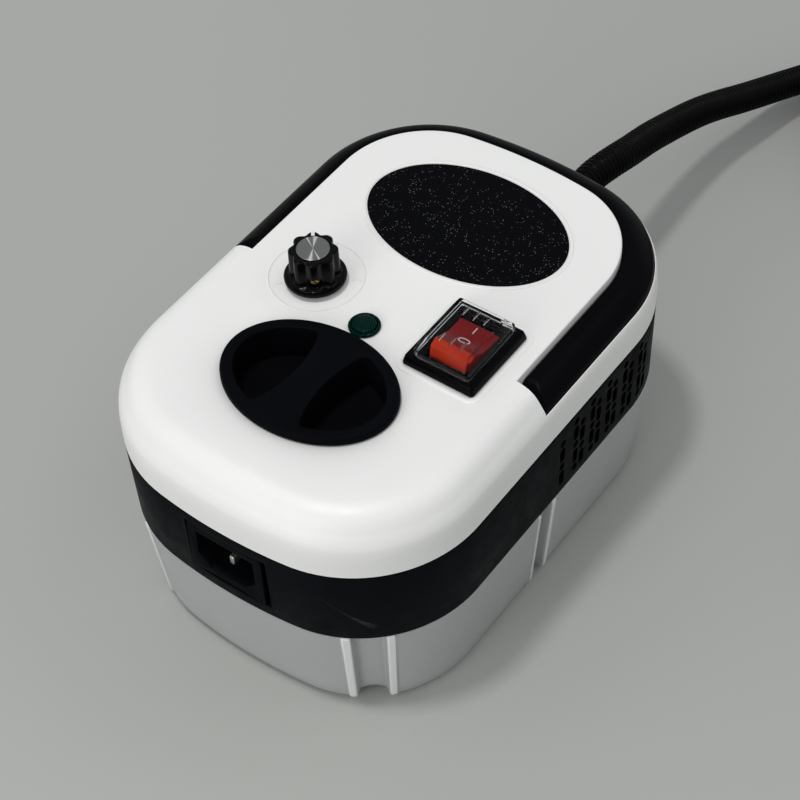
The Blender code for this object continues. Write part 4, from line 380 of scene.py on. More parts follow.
def split_loop(y):
    """The whole outline, with two stations on each side where the rear half's section starts."""
    rear = [y + (CORNER_Y - y) * i / SIDE_STEPS for i in range(1, SIDE_STEPS)]
    front = [y - (CORNER_Y + y) * i / SIDE_STEPS for i in range(1, SIDE_STEPS)]
    loop = [side_station(1, y, True, True), *[side_station(1, at, True) for at in rear], *half_loop(True)]
    loop += [*[side_station(-1, at, True) for at in reversed(rear)], side_station(-1, y, True, True)]
    loop += [side_station(-1, y, False, True), *[side_station(-1, at) for at in front], *half_loop(False)]
    return loop + [*[side_station(1, at) for at in reversed(front)], side_station(1, y, False, True)]


def whole_loop():
    return half_loop(True) + half_loop(False)


def ring(stations, inset, z):
    return [Vector((*(s.at - s.out * inset), z)) for s in stations]


# Finishes


class Finish:
    """A material in the making, with its Principled shader and the coordinates of its object."""

    def __init__(self, name, colour, roughness, metallic=0.0):
        self.material = bpy.data.materials.new(name)
        self.material.use_nodes = True
        self.tree = self.material.node_tree
        self.shader = self.tree.nodes["Principled BSDF"]
        self.place = self.tree.nodes.new("ShaderNodeTexCoord").outputs["Object"]
        self.give("Base Color", (*colour, 1))
        self.give("Roughness", roughness)
        self.give("Metallic", metallic)

    def give(self, key, value, node=None):
        """Set an input of the shader or of another node, or link it to the output that feeds it."""
        socket = (node or self.shader).inputs[key]
        if isinstance(value, bpy.types.NodeSocket):
            self.tree.links.new(value, socket)
        else:
            socket.default_value = value

    def node(self, kind, inputs, result, **settings):
        """Output of a new node with its settings and inputs."""
        node = self.tree.nodes.new(f"ShaderNode{kind}")
        for name, value in settings.items():
            setattr(node, name, value)
        for key, value in inputs.items():
            self.give(key, value, node)
        return node.outputs[result]

    def noise(self, scale, detail, rough=0.5):
        inputs = {"Vector": self.place, "Scale": scale, "Detail": detail, "Roughness": rough}
        return self.node("TexNoise", inputs, "Fac")

    def ranged(self, value, from_low, from_high, to_low, to_high):
        limits = {"From Min": from_low, "From Max": from_high, "To Min": to_low, "To Max": to_high}
        return self.node("MapRange", {"Value": value, **limits}, "Result")

    def mixed(self, share, first, second):
        """Colour between two colours, each a value or an output."""
        first, second = ((*c, 1) if isinstance(c, tuple) else c for c in (first, second))
        return self.node("Mix", {"Factor": share, "A": first, "B": second}, "Result", data_type="RGBA")

    def number(self, operation, *values):
        return self.node("Math", dict(enumerate(values)), "Value", operation=operation)

    def vector(self, operation, *values, result="Vector"):
        return self.node("VectorMath", dict(enumerate(values)), result, operation=operation)

    def bump(self, height, distance, strength):
        inputs = {"Height": height, "Distance": distance, "Strength": strength}
        self.give("Normal", self.node("Bump", inputs, "Normal"))


def moulded(name, colour, roughness, grain=2600, depth=0.00004, fade=0.12, scuffs=0.04, gloss=0.5):
    """Moulded plastic: fine spark-eroded grain, slow tone changes and a roughness that wanders."""
    made = Finish(name, colour, roughness)
    made.give("Specular IOR Level", gloss)
    light = tuple(min(c * (1 + fade), 1) for c in colour)
    dark = tuple(c * (1 - fade) for c in colour)
    made.give("Base Color", made.mixed(made.ranged(made.noise(28, 3), 0.3, 0.7, 0, 1), dark, light))
    rubbed = made.noise(140, 4, 0.6)
    made.give("Roughness", made.ranged(rubbed, 0.35, 0.7, roughness - scuffs, roughness + scuffs * 2))
    made.bump(made.noise(grain, 1), depth, 0.6)
    return made


RUB_START = Vector((0.0350, 0, 0.0660))
RUB_END = Vector((0.0523, 0, 0.0481))
RUB_HALF_WIDTHS = (0.00008, 0.0013)
RUB_NEAREST_Y = -0.05


def make_band_black():
    """Black plastic of the band, with the pale rub mark on its front corner: a thin line that broadens."""
    made = moulded("band_black", (0.0028, 0.0032, 0.0046), 0.48, fade=0.3, scuffs=0.05, gloss=0.03)
    plastic = made.shader.inputs["Base Color"].links[0].from_socket
    length, ahead = (RUB_END - RUB_START).length, (RUB_END - RUB_START).normalized()
    offset = made.vector("SUBTRACT", made.place, RUB_START)
    along = made.vector("DOT_PRODUCT", offset, ahead, result="Value")
    across = made.vector("DOT_PRODUCT", offset, (-ahead.z, 0, ahead.x), result="Value")
    y = made.vector("DOT_PRODUCT", made.place, (0, 1, 0), result="Value")
    half_width = made.ranged(along, length * 0.45, length, *RUB_HALF_WIDTHS)
    beyond = made.number("SUBTRACT", made.number("ABSOLUTE", across), half_width)
    mark = made.ranged(beyond, -0.0003, 0.0002, 1, 0)
    for share in (
        made.ranged(along, 0, length * 0.1, 0, 1), made.ranged(along, length * 0.85, length, 1, 0),
        made.ranged(made.noise(1100, 3), 0.38, 0.62, 0.25, 1), made.number("LESS_THAN", y, RUB_NEAREST_Y),
    ):
        mark = made.number("MULTIPLY", mark, share)
    made.give("Base Color", made.mixed(mark, plastic, (0.034, 0.033, 0.033)))
    return made


def make_frosted(name, colour, see_through):
    """Milky tank plastic that lets soft light through."""
    made = Finish(name, colour, 0.38)
    made.give("Transmission Weight", see_through)
    made.give("IOR", 1.5)
    made.give("Roughness", made.ranged(made.noise(60, 3), 0.3, 0.7, 0.34, 0.46))
    made.bump(made.noise(1400, 2), 0.00003, 0.5)
    return made


def make_label_film():
    """Gloss black print with fine pale specks, like dust on a night sky."""
    made = Finish("label_film", (0.0016, 0.0016, 0.0024), 0.22)
    made.give("Specular IOR Level", 0.03)
    cell = made.node("TexVoronoi", {"Vector": made.place, "Scale": 1100}, "Distance")
    chosen = made.number("GREATER_THAN", made.noise(300, 1), 0.49)
    speck = made.number("MULTIPLY", made.ranged(cell, 0.11, 0.21, 1, 0), chosen)
    made.give("Base Color", made.mixed(speck, (0.0018, 0.0018, 0.0026), (0.15, 0.16, 0.18)))
    return made


def make_clear():
    made = Finish("clear_plastic", (0.97, 0.98, 0.98), 0.04)
    made.give("Transmission Weight", 1.0)
    made.give("IOR", 1.22)
    made.give("Specular Tint", (0.25, 0.25, 0.25, 1))
    made.give("Roughness", made.ranged(made.noise(300, 2), 0.4, 0.7, 0.01, 0.04))
    return made


def make_lens_green():
    """Moulded lens with a fine pyramid pattern below a gloss surface."""
    made = Finish("green_lens", (0.002, 0.06, 0.04), 0.12)
    made.give("Specular IOR Level", 0.04)
    waves = []
    for degrees in (45, -45):
        turn = (0, 0, math.radians(degrees))
        place = made.node("Mapping", {"Vector": made.place, "Rotation": turn}, "Vector")
        waves.append(made.node("TexWave", {"Vector": place, "Scale": 380}, "Fac", wave_profile="TRI"))
    pyramids = made.number("MULTIPLY", *waves)
    made.give("Base Color", made.mixed(pyramids, (0.0002, 0.006, 0.0045), (0.0006, 0.036, 0.026)))
    made.bump(pyramids, 0.0002, 0.5)
    return made


def make_glow_plastic(name, deep, bright):
    """Tinted plastic of the rocker that light sinks into, a little uneven in tone."""
    made = Finish(name, deep, 0.18)
    made.give("Subsurface Weight", 0.25)
    made.give("Subsurface Radius", (0.004, 0.0008, 0.0004))
    made.give("Specular IOR Level", 0.10)
    made.give("Base Color", made.mixed(made.noise(260, 2), deep, bright))
    return made


def make_metal(name, colour, roughness, grain=900):
    """Machined metal with fine scratches and tarnish."""
    made = Finish(name, colour, roughness, 1.0)
    tarnish = made.noise(160, 4, 0.6)
    dark = tuple(c * 0.72 for c in colour)
    made.give("Base Color", made.mixed(made.ranged(tarnish, 0.35, 0.75, 0, 1), colour, dark))
    made.give("Roughness", made.ranged(tarnish, 0.3, 0.7, roughness * 0.8, roughness * 1.5))
    made.bump(made.noise(grain, 2), 0.00002, 0.5)
    return made


def make_turned_metal_painted_glints():
    """Aluminium disc with the rings that a facing cut leaves, and painted glints: bright streaks painted
    into its colour at two fixed angles over a darker grey, standing for the light it reflects.
    """
    made = Finish("turned_aluminium_painted_glints", (0.62, 0.62, 0.61), 0.3, 1.0)
    place = made.node("Mapping", {"Vector": made.place, "Location": (-KNOB_X, -KNOB_Y, 0)}, "Vector")
    rings = made.node(
        "TexWave", {"Vector": place, "Scale": 1800, "Distortion": 0.4}, "Fac",
        wave_type="RINGS", rings_direction="Z",
    )
    share = made.node("TexGradient", {"Vector": place}, "Fac", gradient_type="RADIAL")
    turn = made.number("MULTIPLY", share, math.tau)
    # Painted highlights: two bright streaks round the disc at fixed angles, painted into the base colour
    painted_glints = []
    for degrees, narrowness in ((118, 120), (149, 700)):
        swing = made.number("COSINE", made.number("SUBTRACT", turn, math.pi + math.radians(degrees)))
        painted_glints.append(made.number("POWER", made.number("ABSOLUTE", swing), narrowness))
    painted_glint = made.number("MAXIMUM", *painted_glints)
    made.give("Base Color", made.mixed(painted_glint, (0.22, 0.22, 0.215), (0.92, 0.92, 0.90)))
    made.bump(rings, 0.00002, 0.4)
    return made


def make_finishes():
    """Every material of the object, by a plain name."""
    finishes = {
        "white": moulded("white_shell", (0.805, 0.805, 0.78), 0.42, 2400, 0.00003, 0.012, 0.05),
        "band": make_band_black(),
        "handle": moulded("handle_black", (0.0016, 0.0016, 0.0024), 0.32, 2200, 0.00002, 0.2, 0.04, 0.03),
        "cap": moulded("cap_black", (0.0024, 0.0026, 0.0038), 0.50, 2000, 0.00005, 0.3, 0.05, 0.02),
        "knob": moulded("knob_black", (0.0015, 0.0015, 0.0018), 0.18, 900, 0.00001, 0.1, 0.03, 0.09),
        "gloss": moulded("gloss_black", (0.0012, 0.0012, 0.0018), 0.22, 1200, 0.00001, 0.2, 0.03, 0.04),
        "socket": moulded("socket_black", (0.0020, 0.0024, 0.0032), 0.45, 1500, 0.00002, 0.2, 0.04, 0.02),
        "hose": moulded("hose_black", (0.0016, 0.0016, 0.0020), 0.38, 1800, 0.00003, 0.3, 0.05, 0.05),
        "rubber": moulded("rubber", (0.006, 0.006, 0.006), 0.75, 1500, 0.00006, 0.15, 0.05, 0.06),
        "silicone": moulded("silicone", (0.62, 0.62, 0.60), 0.45, 1500, 0.00002, 0.05, 0.04),
        "frosted": make_frosted("frosted_plastic", (0.66, 0.67, 0.67), 0.5),
        # Flute lips: less clear, as their folded plastic is thicker, and lighter in colour as a painted
        # highlight where they catch light
        "milky_painted_highlight": make_frosted("frosted_plastic_thick_painted_highlight", (0.78, 0.79, 0.79), 0.15),
        "label": make_label_film(),
        "clear": make_clear(),
        "green": make_lens_green(),
        "red": make_glow_plastic("rocker_red", (0.165, 0.0015, 0.003), (0.20, 0.003, 0.004)),
        "orange": make_glow_plastic("rocker_orange", (0.42, 0.020, 0.004), (0.48, 0.030, 0.007)),
        "ink": moulded("white_ink", (0.72, 0.70, 0.68), 0.5, 1500, 0.00001, 0.05, 0.03),
        "steel": make_metal("steel", (0.56, 0.55, 0.53), 0.32),
        "brass": make_metal("brass", (0.62, 0.45, 0.20), 0.30),
        "aluminium": make_metal("aluminium", (0.66, 0.66, 0.66), 0.38, 500),
        # Turned aluminium: real facing rings with painted glints in its colour
        "turned": make_turned_metal_painted_glints(),
        "board": moulded("board_green", (0.02, 0.14, 0.05), 0.4, 900, 0.00004, 0.3, 0.05),
        "wire": moulded("wire_red", (0.42, 0.02, 0.015), 0.45, 1500, 0.00002, 0.1, 0.05),
    }
    return {name: made.material for name, made in finishes.items()}


FINISHES = make_finishes()


# Camera, floor and light


def make_camera():
    data = bpy.data.cameras.new("camera")
    data.lens = CAMERA_LENS
    data.sensor_width = SENSOR
    data.clip_start = 0.01
    data.clip_end = 20
    camera = bpy.data.objects.new("camera", data)
    bpy.context.scene.collection.objects.link(camera)
    turn = Matrix((CAMERA_RIGHT, CAMERA_UP, CAMERA_BACK)).transposed().to_4x4()
    camera.matrix_world = Matrix.Translation(CAMERA_PLACE) @ turn
    bpy.context.scene.camera = camera


def make_floor():
    shape = bmesh.new()
    bmesh.ops.create_grid(shape, x_segments=8, y_segments=8, size=FLOOR_HALF)
    grey = Finish("floor_grey", (0.39, 0.395, 0.375), 0.55)
    cloud = grey.ranged(grey.noise(1.6, 2), 0.3, 0.7, 0, 1)
    grey.give("Base Color", grey.mixed(cloud, (0.375, 0.38, 0.36), (0.41, 0.415, 0.39)))
    floor = add_object("floor", shape, grey.material)
    if floor.data.polygons[0].normal.z < 0:
        floor.data.flip_normals()


def area_light(name, place, size, power):
    """Round lamp that faces the middle of the machine."""
    data = bpy.data.lights.new(name, "AREA")
    data.shape = "DISK"
    data.size = size
    data.energy = power
    lamp = bpy.data.objects.new(name, data)
    bpy.context.scene.collection.objects.link(lamp)
    lamp.location = place
    lamp.rotation_mode = "QUATERNION"
    lamp.rotation_quaternion = (Vector(LIGHT_AIM) - Vector(place)).to_track_quat("-Z", "Y")


def make_light():
    world = bpy.data.worlds.new("studio")
    bpy.context.scene.world = world
    world.use_nodes = True
    sky = world.node_tree.nodes["Background"]
    sky.inputs["Color"].default_value = (0.95, 0.97, 1.0, 1)
    sky.inputs["Strength"].default_value = 0.56
    area_light("overhead", (-0.16, -0.28, 1.80), 0.20, 10)
    area_light("front", (-0.10, -1.50, 0.50), 1.00, 8)
    area_light("rear_fill", (0.70, 0.70, 1.40), 1.00, 2)


make_camera()
make_floor()
make_light()
bpy.context.scene.view_settings.view_transform = "Standard"


# Hose, coil and gun line

HOSE_RADIUS = 0.00625
RIB_PITCH = 0.0022
RIB_DEPTH = 0.0007
RIB_RADII = ((0.0, -1.0), (0.22, -0.95), (0.38, 0.0), (0.62, 0.0), (0.78, -0.95))
HOSE_SIDES = 18
COIL_CENTRE = (0.104, 0.287)
COIL_INNER_RADIUS = 0.055
COIL_START = math.radians(150)
COIL_TURNS = 2.4333
COIL_STEPS = 24
COIL_CLEARANCE = 0.00045
TIE_THICKNESS = 0.0008
TIE_SLACK = 0.0008
TIE_WIDTH = 0.008
TIE_STEPS = 16
COIL_PITCH = 2 * HOSE_RADIUS + COIL_CLEARANCE
COIL_LOW = HOSE_RADIUS + TIE_SLACK + TIE_THICKNESS
TAIL_STEPS = 6
GUN_RUN = 0.0440
GUN_HALF_THICKNESS = 0.0140
GLAND_END_Y = 0.115
GLAND_FLANGE = 0.0025
HOSE_ROUTE = [
    (0.0, 0.1153, 0.05935),
    (0.0, 0.1278, 0.05935),
    (0.0006, 0.1383, 0.0577),
    (0.0010, 0.1456, 0.0560),
    (0.0010, 0.1535, 0.0535),
    (0.0008, 0.1615, 0.0510),
    (0.0006, 0.1696, 0.0483),
    (0.0005, 0.1776, 0.0453),
    (0.0010, 0.1928, 0.0400),
    (0.0021, 0.2072, 0.0350),
    (0.0041, 0.2206, 0.0300),
    (0.0069, 0.2330, 0.0255),
    (0.0096, 0.2458, 0.0210),
    (0.0125, 0.2583, 0.0170),
    (0.0158, 0.2700, 0.0136),
    (0.0200, 0.2815, 0.0112),
    (0.0252, 0.2923, 0.0094),
    (0.0308, 0.3020, 0.0083),
]


def eased(share):
    """Soft rise from 0 to 1, level at both ends."""
    return (1 - math.cos(math.pi * min(max(share, 0), 1))) / 2


def heading(angle):
    """Direction in which the coil runs on, at an angle round it."""
    return Vector((math.sin(angle), -math.cos(angle), 0))


def coil_line():
    """The coil's centre line: in along one layer, up, and out along the next."""
    halfway = COIL_TURNS / 2
    steps = round(COIL_TURNS * COIL_STEPS)
    line = []
    for i in range(steps + 1):
        turns = COIL_TURNS * i / steps
        angle = COIL_START - math.tau * turns
        radius = COIL_INNER_RADIUS + COIL_PITCH * abs(turns - halfway)
        x, y = COIL_CENTRE[0] + radius * math.cos(angle), COIL_CENTRE[1] + radius * math.sin(angle)
        line.append(Vector((x, y, COIL_LOW + COIL_PITCH * eased((turns - halfway) / 0.5 + 0.5))))
    return line


def gun_start():
    """Where the coil's last turn ends and the direction in which the hose leaves it."""
    return coil_line()[-1], heading(COIL_START - math.tau * COIL_TURNS)


def hose_line():
    """Whole route: free stretch, coil and the tail that runs down to the gun."""
    coil = coil_line()
    lead = coil[0] - heading(COIL_START) * 2 * HOSE_RADIUS
    end, away = gun_start()
    drop = end.z - GUN_HALF_THICKNESS - GAP
    tail = []
    for i in range(1, TAIL_STEPS + 1):
        share = i / TAIL_STEPS
        tail.append(end + away * GUN_RUN * share - Vector((0, 0, drop * eased((share - 0.25) / 0.55))))
    return smooth([*[Vector(p) for p in HOSE_ROUTE], lead, *coil, *tail], 8)


def make_hose():
    """Ribbed hose in one piece from the gland to the gun."""
    line = hose_line()
    spine = evenly(line, RIB_PITCH)
    count = len(spine) - 1
    spans = [((i + start) / count, depth) for i in range(count) for start, depth in RIB_RADII]
    spans.append((1.0, -1.0))
    centres = at_shares(line, [share for share, _ in spans])
    turns = full_turn(HOSE_SIDES)
    side = Vector((1, 0, 0))
    rings = []
    for index, (centre, (_, depth)) in enumerate(zip(centres, spans, strict=True)):
        ahead = (centres[min(index + 2, len(centres) - 1)] - centres[max(index - 2, 0)]).normalized()
        side = (side - ahead * side.dot(ahead)).normalized()
        up = ahead.cross(side)
        radius = HOSE_RADIUS + RIB_DEPTH * depth
        rings.append([centre + (side * math.cos(t) + up * math.sin(t)) * radius for t in turns])
    hose = add_object("ribbed_hose", close_ends(skin(rings)), FINISHES["hose"])
    settle(hose, "case", "steam_hose", "hose_coil", sharp=60)
    gland, tie = make_gland(), make_tie()


def make_gland():
    """Collar that the hose leaves the band through, tapered from its flange."""
    low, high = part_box("hose_gland")
    radius = (high.z - low.z) / 2
    out = GLAND_END_Y - HALF_LENGTH
    profile = [
        (HOSE_RADIUS - EDGE, out), (HOSE_RADIUS * 1.14, out), (HOSE_RADIUS * 1.2, out - EDGE),
        (radius * 0.90, out * 0.90), (radius * 0.92, out * 0.55), (radius * 0.93, GLAND_FLANGE * 1.3),
        (radius * 0.95, GLAND_FLANGE + EDGE / 2), (radius - EDGE, GLAND_FLANGE),
        (radius, GLAND_FLANGE - EDGE), (radius, GAP), (radius - EDGE, -GAP), (HOSE_RADIUS, -GAP),
        (HOSE_RADIUS - EDGE, GLAND_FLANGE),
    ]
    start = (0, HALF_LENGTH, BAND_MIDDLE)
    gland = turned("hose_collar", [*profile, profile[0]], start, (0, 1, 0), FINISHES["hose"])
    return settle(gland, "case", "hose_gland")


def make_tie():
    """Soft strap round the two layers of the coil."""
    angle = COIL_START - math.tau * (COIL_TURNS / 2 - 0.5)
    out = Vector((math.cos(angle), math.sin(angle), 0))
    along = Vector((-out.y, out.x, 0))
    middle = Vector((*COIL_CENTRE, 0)) + out * (COIL_INNER_RADIUS + COIL_PITCH / 2)

    def loop(radius, side):
        points = []
        for base, sign in ((COIL_LOW + COIL_PITCH, 1), (COIL_LOW, -1)):
            for i in range(TIE_STEPS + 1):
                turn = math.pi * i / TIE_STEPS
                across, height = sign * radius * math.cos(turn), base + sign * radius * math.sin(turn)
                points.append(middle + out * across + along * side * TIE_WIDTH / 2 + Vector((0, 0, height)))
        return points

    inner = HOSE_RADIUS + TIE_SLACK
    outer = inner + TIE_THICKNESS
    soft = TIE_THICKNESS / 3
    share = 1 - 2 * soft / TIE_WIDTH
    section = [(inner, share), (inner + soft, 1), (outer - soft, 1), (outer, share)]
    rings = [loop(radius, -side) for radius, side in section]
    rings += [loop(radius, side) for radius, side in reversed(section)]
    tie = add_object("coil_tie", skin(rings, closed_along=True), FINISHES["rubber"])
    return settle(tie, "case", "hose_tie")


make_hose()


# Lid

SHOULDER_STEPS = 5
CHANNEL_END_ROUND = 0.0013
MARK_HEIGHT = 0.00022
DIAL_CENTRE = (-0.0285, -0.0048)
DIAL_RADIUS = 0.0171
DIAL_LINE = 0.0005
DIAL_HALF_SWEEP = math.radians(103.5)
TICK_START = 0.0125
TICK_END = 0.0160
LABEL_RIM_MARGINS = (0.00165, 0.00044)
SWITCH_RIM_MARGINS = (0.0052, 0.0006)
SWITCH_RIM_CORNERS = (0.0042, 0.0024)


def shoulder_curve():
    """Section of the lid's outside as (inset, height), up to the panel's flat."""
    points = [(PANEL_INSET * inset, BAND_TOP + LID_RISE * rise) for inset, rise in SHOULDER_SHARES]
    return smooth(points, SHOULDER_STEPS)


def subdivided(points, spacing):
    """The same line with points added on its long straight runs."""
    filled = [points[0]]
    for a, b in zip(points, points[1:], strict=False):
        count = max(math.ceil((b - a).length / spacing), 1)
        filled += [a.lerp(b, (i + 1) / count) for i in range(count)]
    return filled


def share_marks(points):
    """Share of a line's length at which each of its points lies."""
    lengths = lengths_along(points)
    return [length / lengths[-1] for length in lengths]


def channel_section(start):
    """Section of the rear half from the rim over its top, down the channel and up to the panel."""
    rim_top = PANEL_TOP - RIM_DROP
    round_rim = (RIM_WALL - start.x) / 2
    line = [start, Vector((start.x + round_rim * 0.4, rim_top + round_rim * 0.8))]
    line += fillet((RIM_WALL, rim_top + round_rim), (1, 0), (0, -1), round_rim)
    line += fillet((RIM_WALL, CHANNEL_FLOOR), (0, -1), (1, 0), CHANNEL_FILLET)
    line += fillet((PANEL_INSET, CHANNEL_FLOOR), (1, 0), (0, 1), CHANNEL_FILLET)
    line += fillet((PANEL_INSET, PANEL_TOP), (0, 1), (1, 0), PANEL_FILLET)
    return subdivided([*line, Vector((PANEL_HOLD, PANEL_TOP))], 0.0012)


def lid_sections():
    """Outer sections with equal counts for the front and the rear, then the inner ones."""
    shoulder = shoulder_curve()
    split = RIM_SHARE_INDEX * SHOULDER_STEPS
    low = [Vector((EDGE, BAND_TOP + GAP)), Vector((0, BAND_TOP + GAP + EDGE)), *shoulder[:split]]
    channel = channel_section(shoulder[split])
    shoulder_top = [*shoulder[split:], Vector((PANEL_HOLD, PANEL_TOP))]
    front = low + at_shares(shoulder_top, share_marks(channel))
    inner_top = PANEL_TOP - WALL
    hold = PANEL_INSET + 1.3 * WALL
    foot = Vector((WALL, BAND_TOP + GAP))
    liner = [
        Vector((hold, inner_top)), Vector((PANEL_INSET + WALL, inner_top)),
        Vector((PANEL_INSET + WALL, CHANNEL_FLOOR - WALL)), Vector((WALL, CHANNEL_FLOOR - WALL)), foot,
    ]
    liner = subdivided(liner, 0.002)
    bend = [Vector((PANEL_INSET * i, BAND_TOP + (LID_RISE - WALL) * z)) for i, z in INNER_SHARES]
    under = smooth([Vector((hold, inner_top)), *bend, foot], 4)
    return front, low + channel, at_shares(under, share_marks(liner)), liner


def opening_ring(stations, margin, z):
    """Oval hole under the filler cap, with a point in the direction of each station."""
    half = Vector((CAP_HALF[0] - margin, CAP_HALF[1] - margin))
    points = []
    for s in stations:
        spot = s.at - s.out * PANEL_HOLD - Vector((0, FILLER_Y))
        turn = math.atan2(spot.y / half.y, spot.x / half.x)
        points.append(Vector((half.x * math.cos(turn), FILLER_Y + half.y * math.sin(turn), z)))
    return points


def section_ring(stations, front, rear, shift=0.0):
    """Ring of one (inset, height) at the front and one at the rear; shift moves the split forward."""
    points = []
    for s in stations:
        inset, z = rear if s.rear else front
        x, y = s.at - s.out * inset
        points.append(Vector((x, y - shift if s.split else y, z)))
    return points


def make_lid():
    """White lid in one closed mesh, with its handle channel and filler opening."""
    stations = split_loop(CHANNEL_END_Y)
    front, rear, under, liner = lid_sections()
    rings = [section_ring(stations, f, r) for f, r in zip(front, rear, strict=True)]
    rings.append(opening_ring(stations, OPENING_INSET - 2 * EDGE, PANEL_TOP))
    rings.append(opening_ring(stations, OPENING_INSET, PANEL_TOP - EDGE))
    rings.append(opening_ring(stations, OPENING_INSET, PANEL_TOP - WALL))
    rings += [section_ring(stations, u, r, WALL) for u, r in zip(under, liner, strict=True)]
    shape = skin(rings, closed_along=True)
    lowest = PANEL_TOP - RIM_DROP + 4 * EDGE
    ends = [
        e for e in shape.edges
        if all(abs(v.co.y - CHANNEL_END_Y) < WELD and v.co.z > lowest for v in e.verts)
        and len(e.link_faces) == 2 and e.calc_face_angle(0) > math.radians(30)
    ]
    bevel_edges(shape, ends, CHANNEL_END_ROUND, 4)
    settle(add_object("lid", shape, FINISHES["white"]), "case", "top_shell", sharp=32)


def raised_loop(name, outer, inner, height):
    """Low moulded line on the lid between two outlines with the same number of points."""
    low, top = PANEL_TOP - EDGE / 2, PANEL_TOP + height
    shoulder = top - height * 0.6
    rings = []
    for share, z in ((0, low), (0, shoulder), (0.25, top), (0.75, top), (1, shoulder), (1, low)):
        pairs = zip(outer, inner, strict=True)
        rings.append([Vector((*Vector(p).to_2d().lerp(Vector(q).to_2d(), share), z)) for p, q in pairs])
    settle_mark(add_object(name, skin(rings, closed_along=True), FINISHES["white"]), "case")


def bar_outline(centre, out, start, end, width):
    """Corners of a flat bar that points away from a centre."""
    across = Vector((-out.y, out.x)) * width / 2
    near, far = Vector(centre) + out * start, Vector(centre) + out * end
    return [near - across, far - across, far + across, near + across]


def make_panel_marks():
    """Fine raised lines on the lid: the dial ring, its two end ticks, and rims round label and switch."""
    outer, inner = (circle(DIAL_CENTRE, radius, 96) for radius in (DIAL_RADIUS, DIAL_RADIUS - DIAL_LINE))
    raised_loop("dial_ring", outer, inner, MARK_HEIGHT)
    for index, side in enumerate((-1, 1)):
        turn = POINTER + side * DIAL_HALF_SWEEP
        outline = bar_outline(
            DIAL_CENTRE, Vector((math.cos(turn), math.sin(turn))), TICK_START, TICK_END, DIAL_LINE
        )
        low, high = PANEL_TOP - EDGE, PANEL_TOP + MARK_HEIGHT
        tick = prism(f"dial_tick_{index + 1}", outline, low, high, FINISHES["white"])
        settle_mark(round_edges(tick, DIAL_LINE / 5), "case")
    outer, inner = (
        oval(LABEL_HALF[0] + margin, LABEL_HALF[1] + margin, LABEL_Y, 0, 128) for margin in LABEL_RIM_MARGINS
    )
    raised_loop("label_rim", outer, inner, MARK_HEIGHT * 1.6)
    outer, inner = (
        rounded_rectangle((SWITCH_X, SWITCH_Y), SWITCH_WIDTH + margin, SWITCH_LENGTH + margin, corner)
        for margin, corner in zip(SWITCH_RIM_MARGINS, SWITCH_RIM_CORNERS, strict=True)
    )
    raised_loop("switch_rim", outer, inner, MARK_HEIGHT * 2.2)


make_lid()
make_panel_marks()


# Middle band

SLOT_WIDTH = 0.0031
SLOT_DEPTH = 0.006
SLOT_FIRST_Y = 0.0024
SLOT_GROUP_PITCH = 0.0104
SLOT_GROUPS = 5
SLOT_COLUMN_HALF = 0.0020
SLOT_SHORT = 0.0034
SLOT_LONG = 0.0072
SLOT_COLUMN = (SLOT_SHORT, SLOT_LONG, SLOT_SHORT, SLOT_LONG, SLOT_SHORT)
SLOT_BRIDGE = 0.0008
SLOT_LOWEST = 0.0036
SLOT_STAGGER = 0.0004
LIP_INSET = 0.0024 + GAP
LIP_WIDTH = 0.0014
LIP_HEIGHT = 0.0027
BAND_FLOOR_INSET = 0.012
INLET_LOW, INLET_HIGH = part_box("power_inlet")
INLET_WIDTH = INLET_HIGH.x - INLET_LOW.x
INLET_HEIGHT = INLET_HIGH.z - INLET_LOW.z
INLET_FRONT = INLET_LOW.y
INLET_BACK = INLET_FRONT + 0.002
PAD_SIDE_MARGIN = 0.005
PAD_TOP_MARGIN = 0.003
PAD_FRONT = INLET_BACK - 0.0011
PAD_BACK = INLET_BACK + 0.003
POCKET_SLACK = 0.0022
INLET_HOLE_HALF_X = 0.0138
INLET_HOLE_HALF_Z = 0.0102
GLAND_HOLE_RADIUS = 0.0075
SPOUT_HOLE_RADIUS = 0.0153
SUCTION_HOLE_RADIUS = 0.0038
SCREW_SINK_RADIUS = 0.0033
SCREW_SINK_DEPTH = 0.0062
CASE_SCREWS = [f"case_screw_{i}" for i in range(1, 5)]


def air_slots(side):
    """Round-ended slots of one side, all in one cutter."""
    shape = bmesh.new()
    columns = [(SLOT_FIRST_Y, SLOT_COLUMN[1:])]
    for group in range(SLOT_GROUPS):
        middle = SLOT_FIRST_Y + SLOT_GROUP_PITCH * (group + 1)
        columns += [(middle - SLOT_COLUMN_HALF, SLOT_COLUMN), (middle + SLOT_COLUMN_HALF, SLOT_COLUMN[1:])]
    radius = SLOT_WIDTH / 2
    deep = SLOT_DEPTH + OVERRUN
    for y, lengths in columns:
        low = TANK_TOP + SLOT_LOWEST + (SLOT_STAGGER if lengths != SLOT_COLUMN else 0)
        for length in lengths:
            made = bmesh.ops.create_cone(
                shape, cap_ends=True, segments=12, radius1=radius, radius2=radius, depth=deep,
                matrix=toward((side * (HALF_WIDTH - deep / 2 + OVERRUN), y, low + radius), (side, 0, 0)),
            )
            upper = [v for v in made["verts"] if v.co.z > low + radius - WELD]
            bmesh.ops.translate(shape, vec=(0, 0, length - SLOT_WIDTH), verts=upper)
            low += length + SLOT_BRIDGE
    return add_object(f"air_slots_{side}", shape)


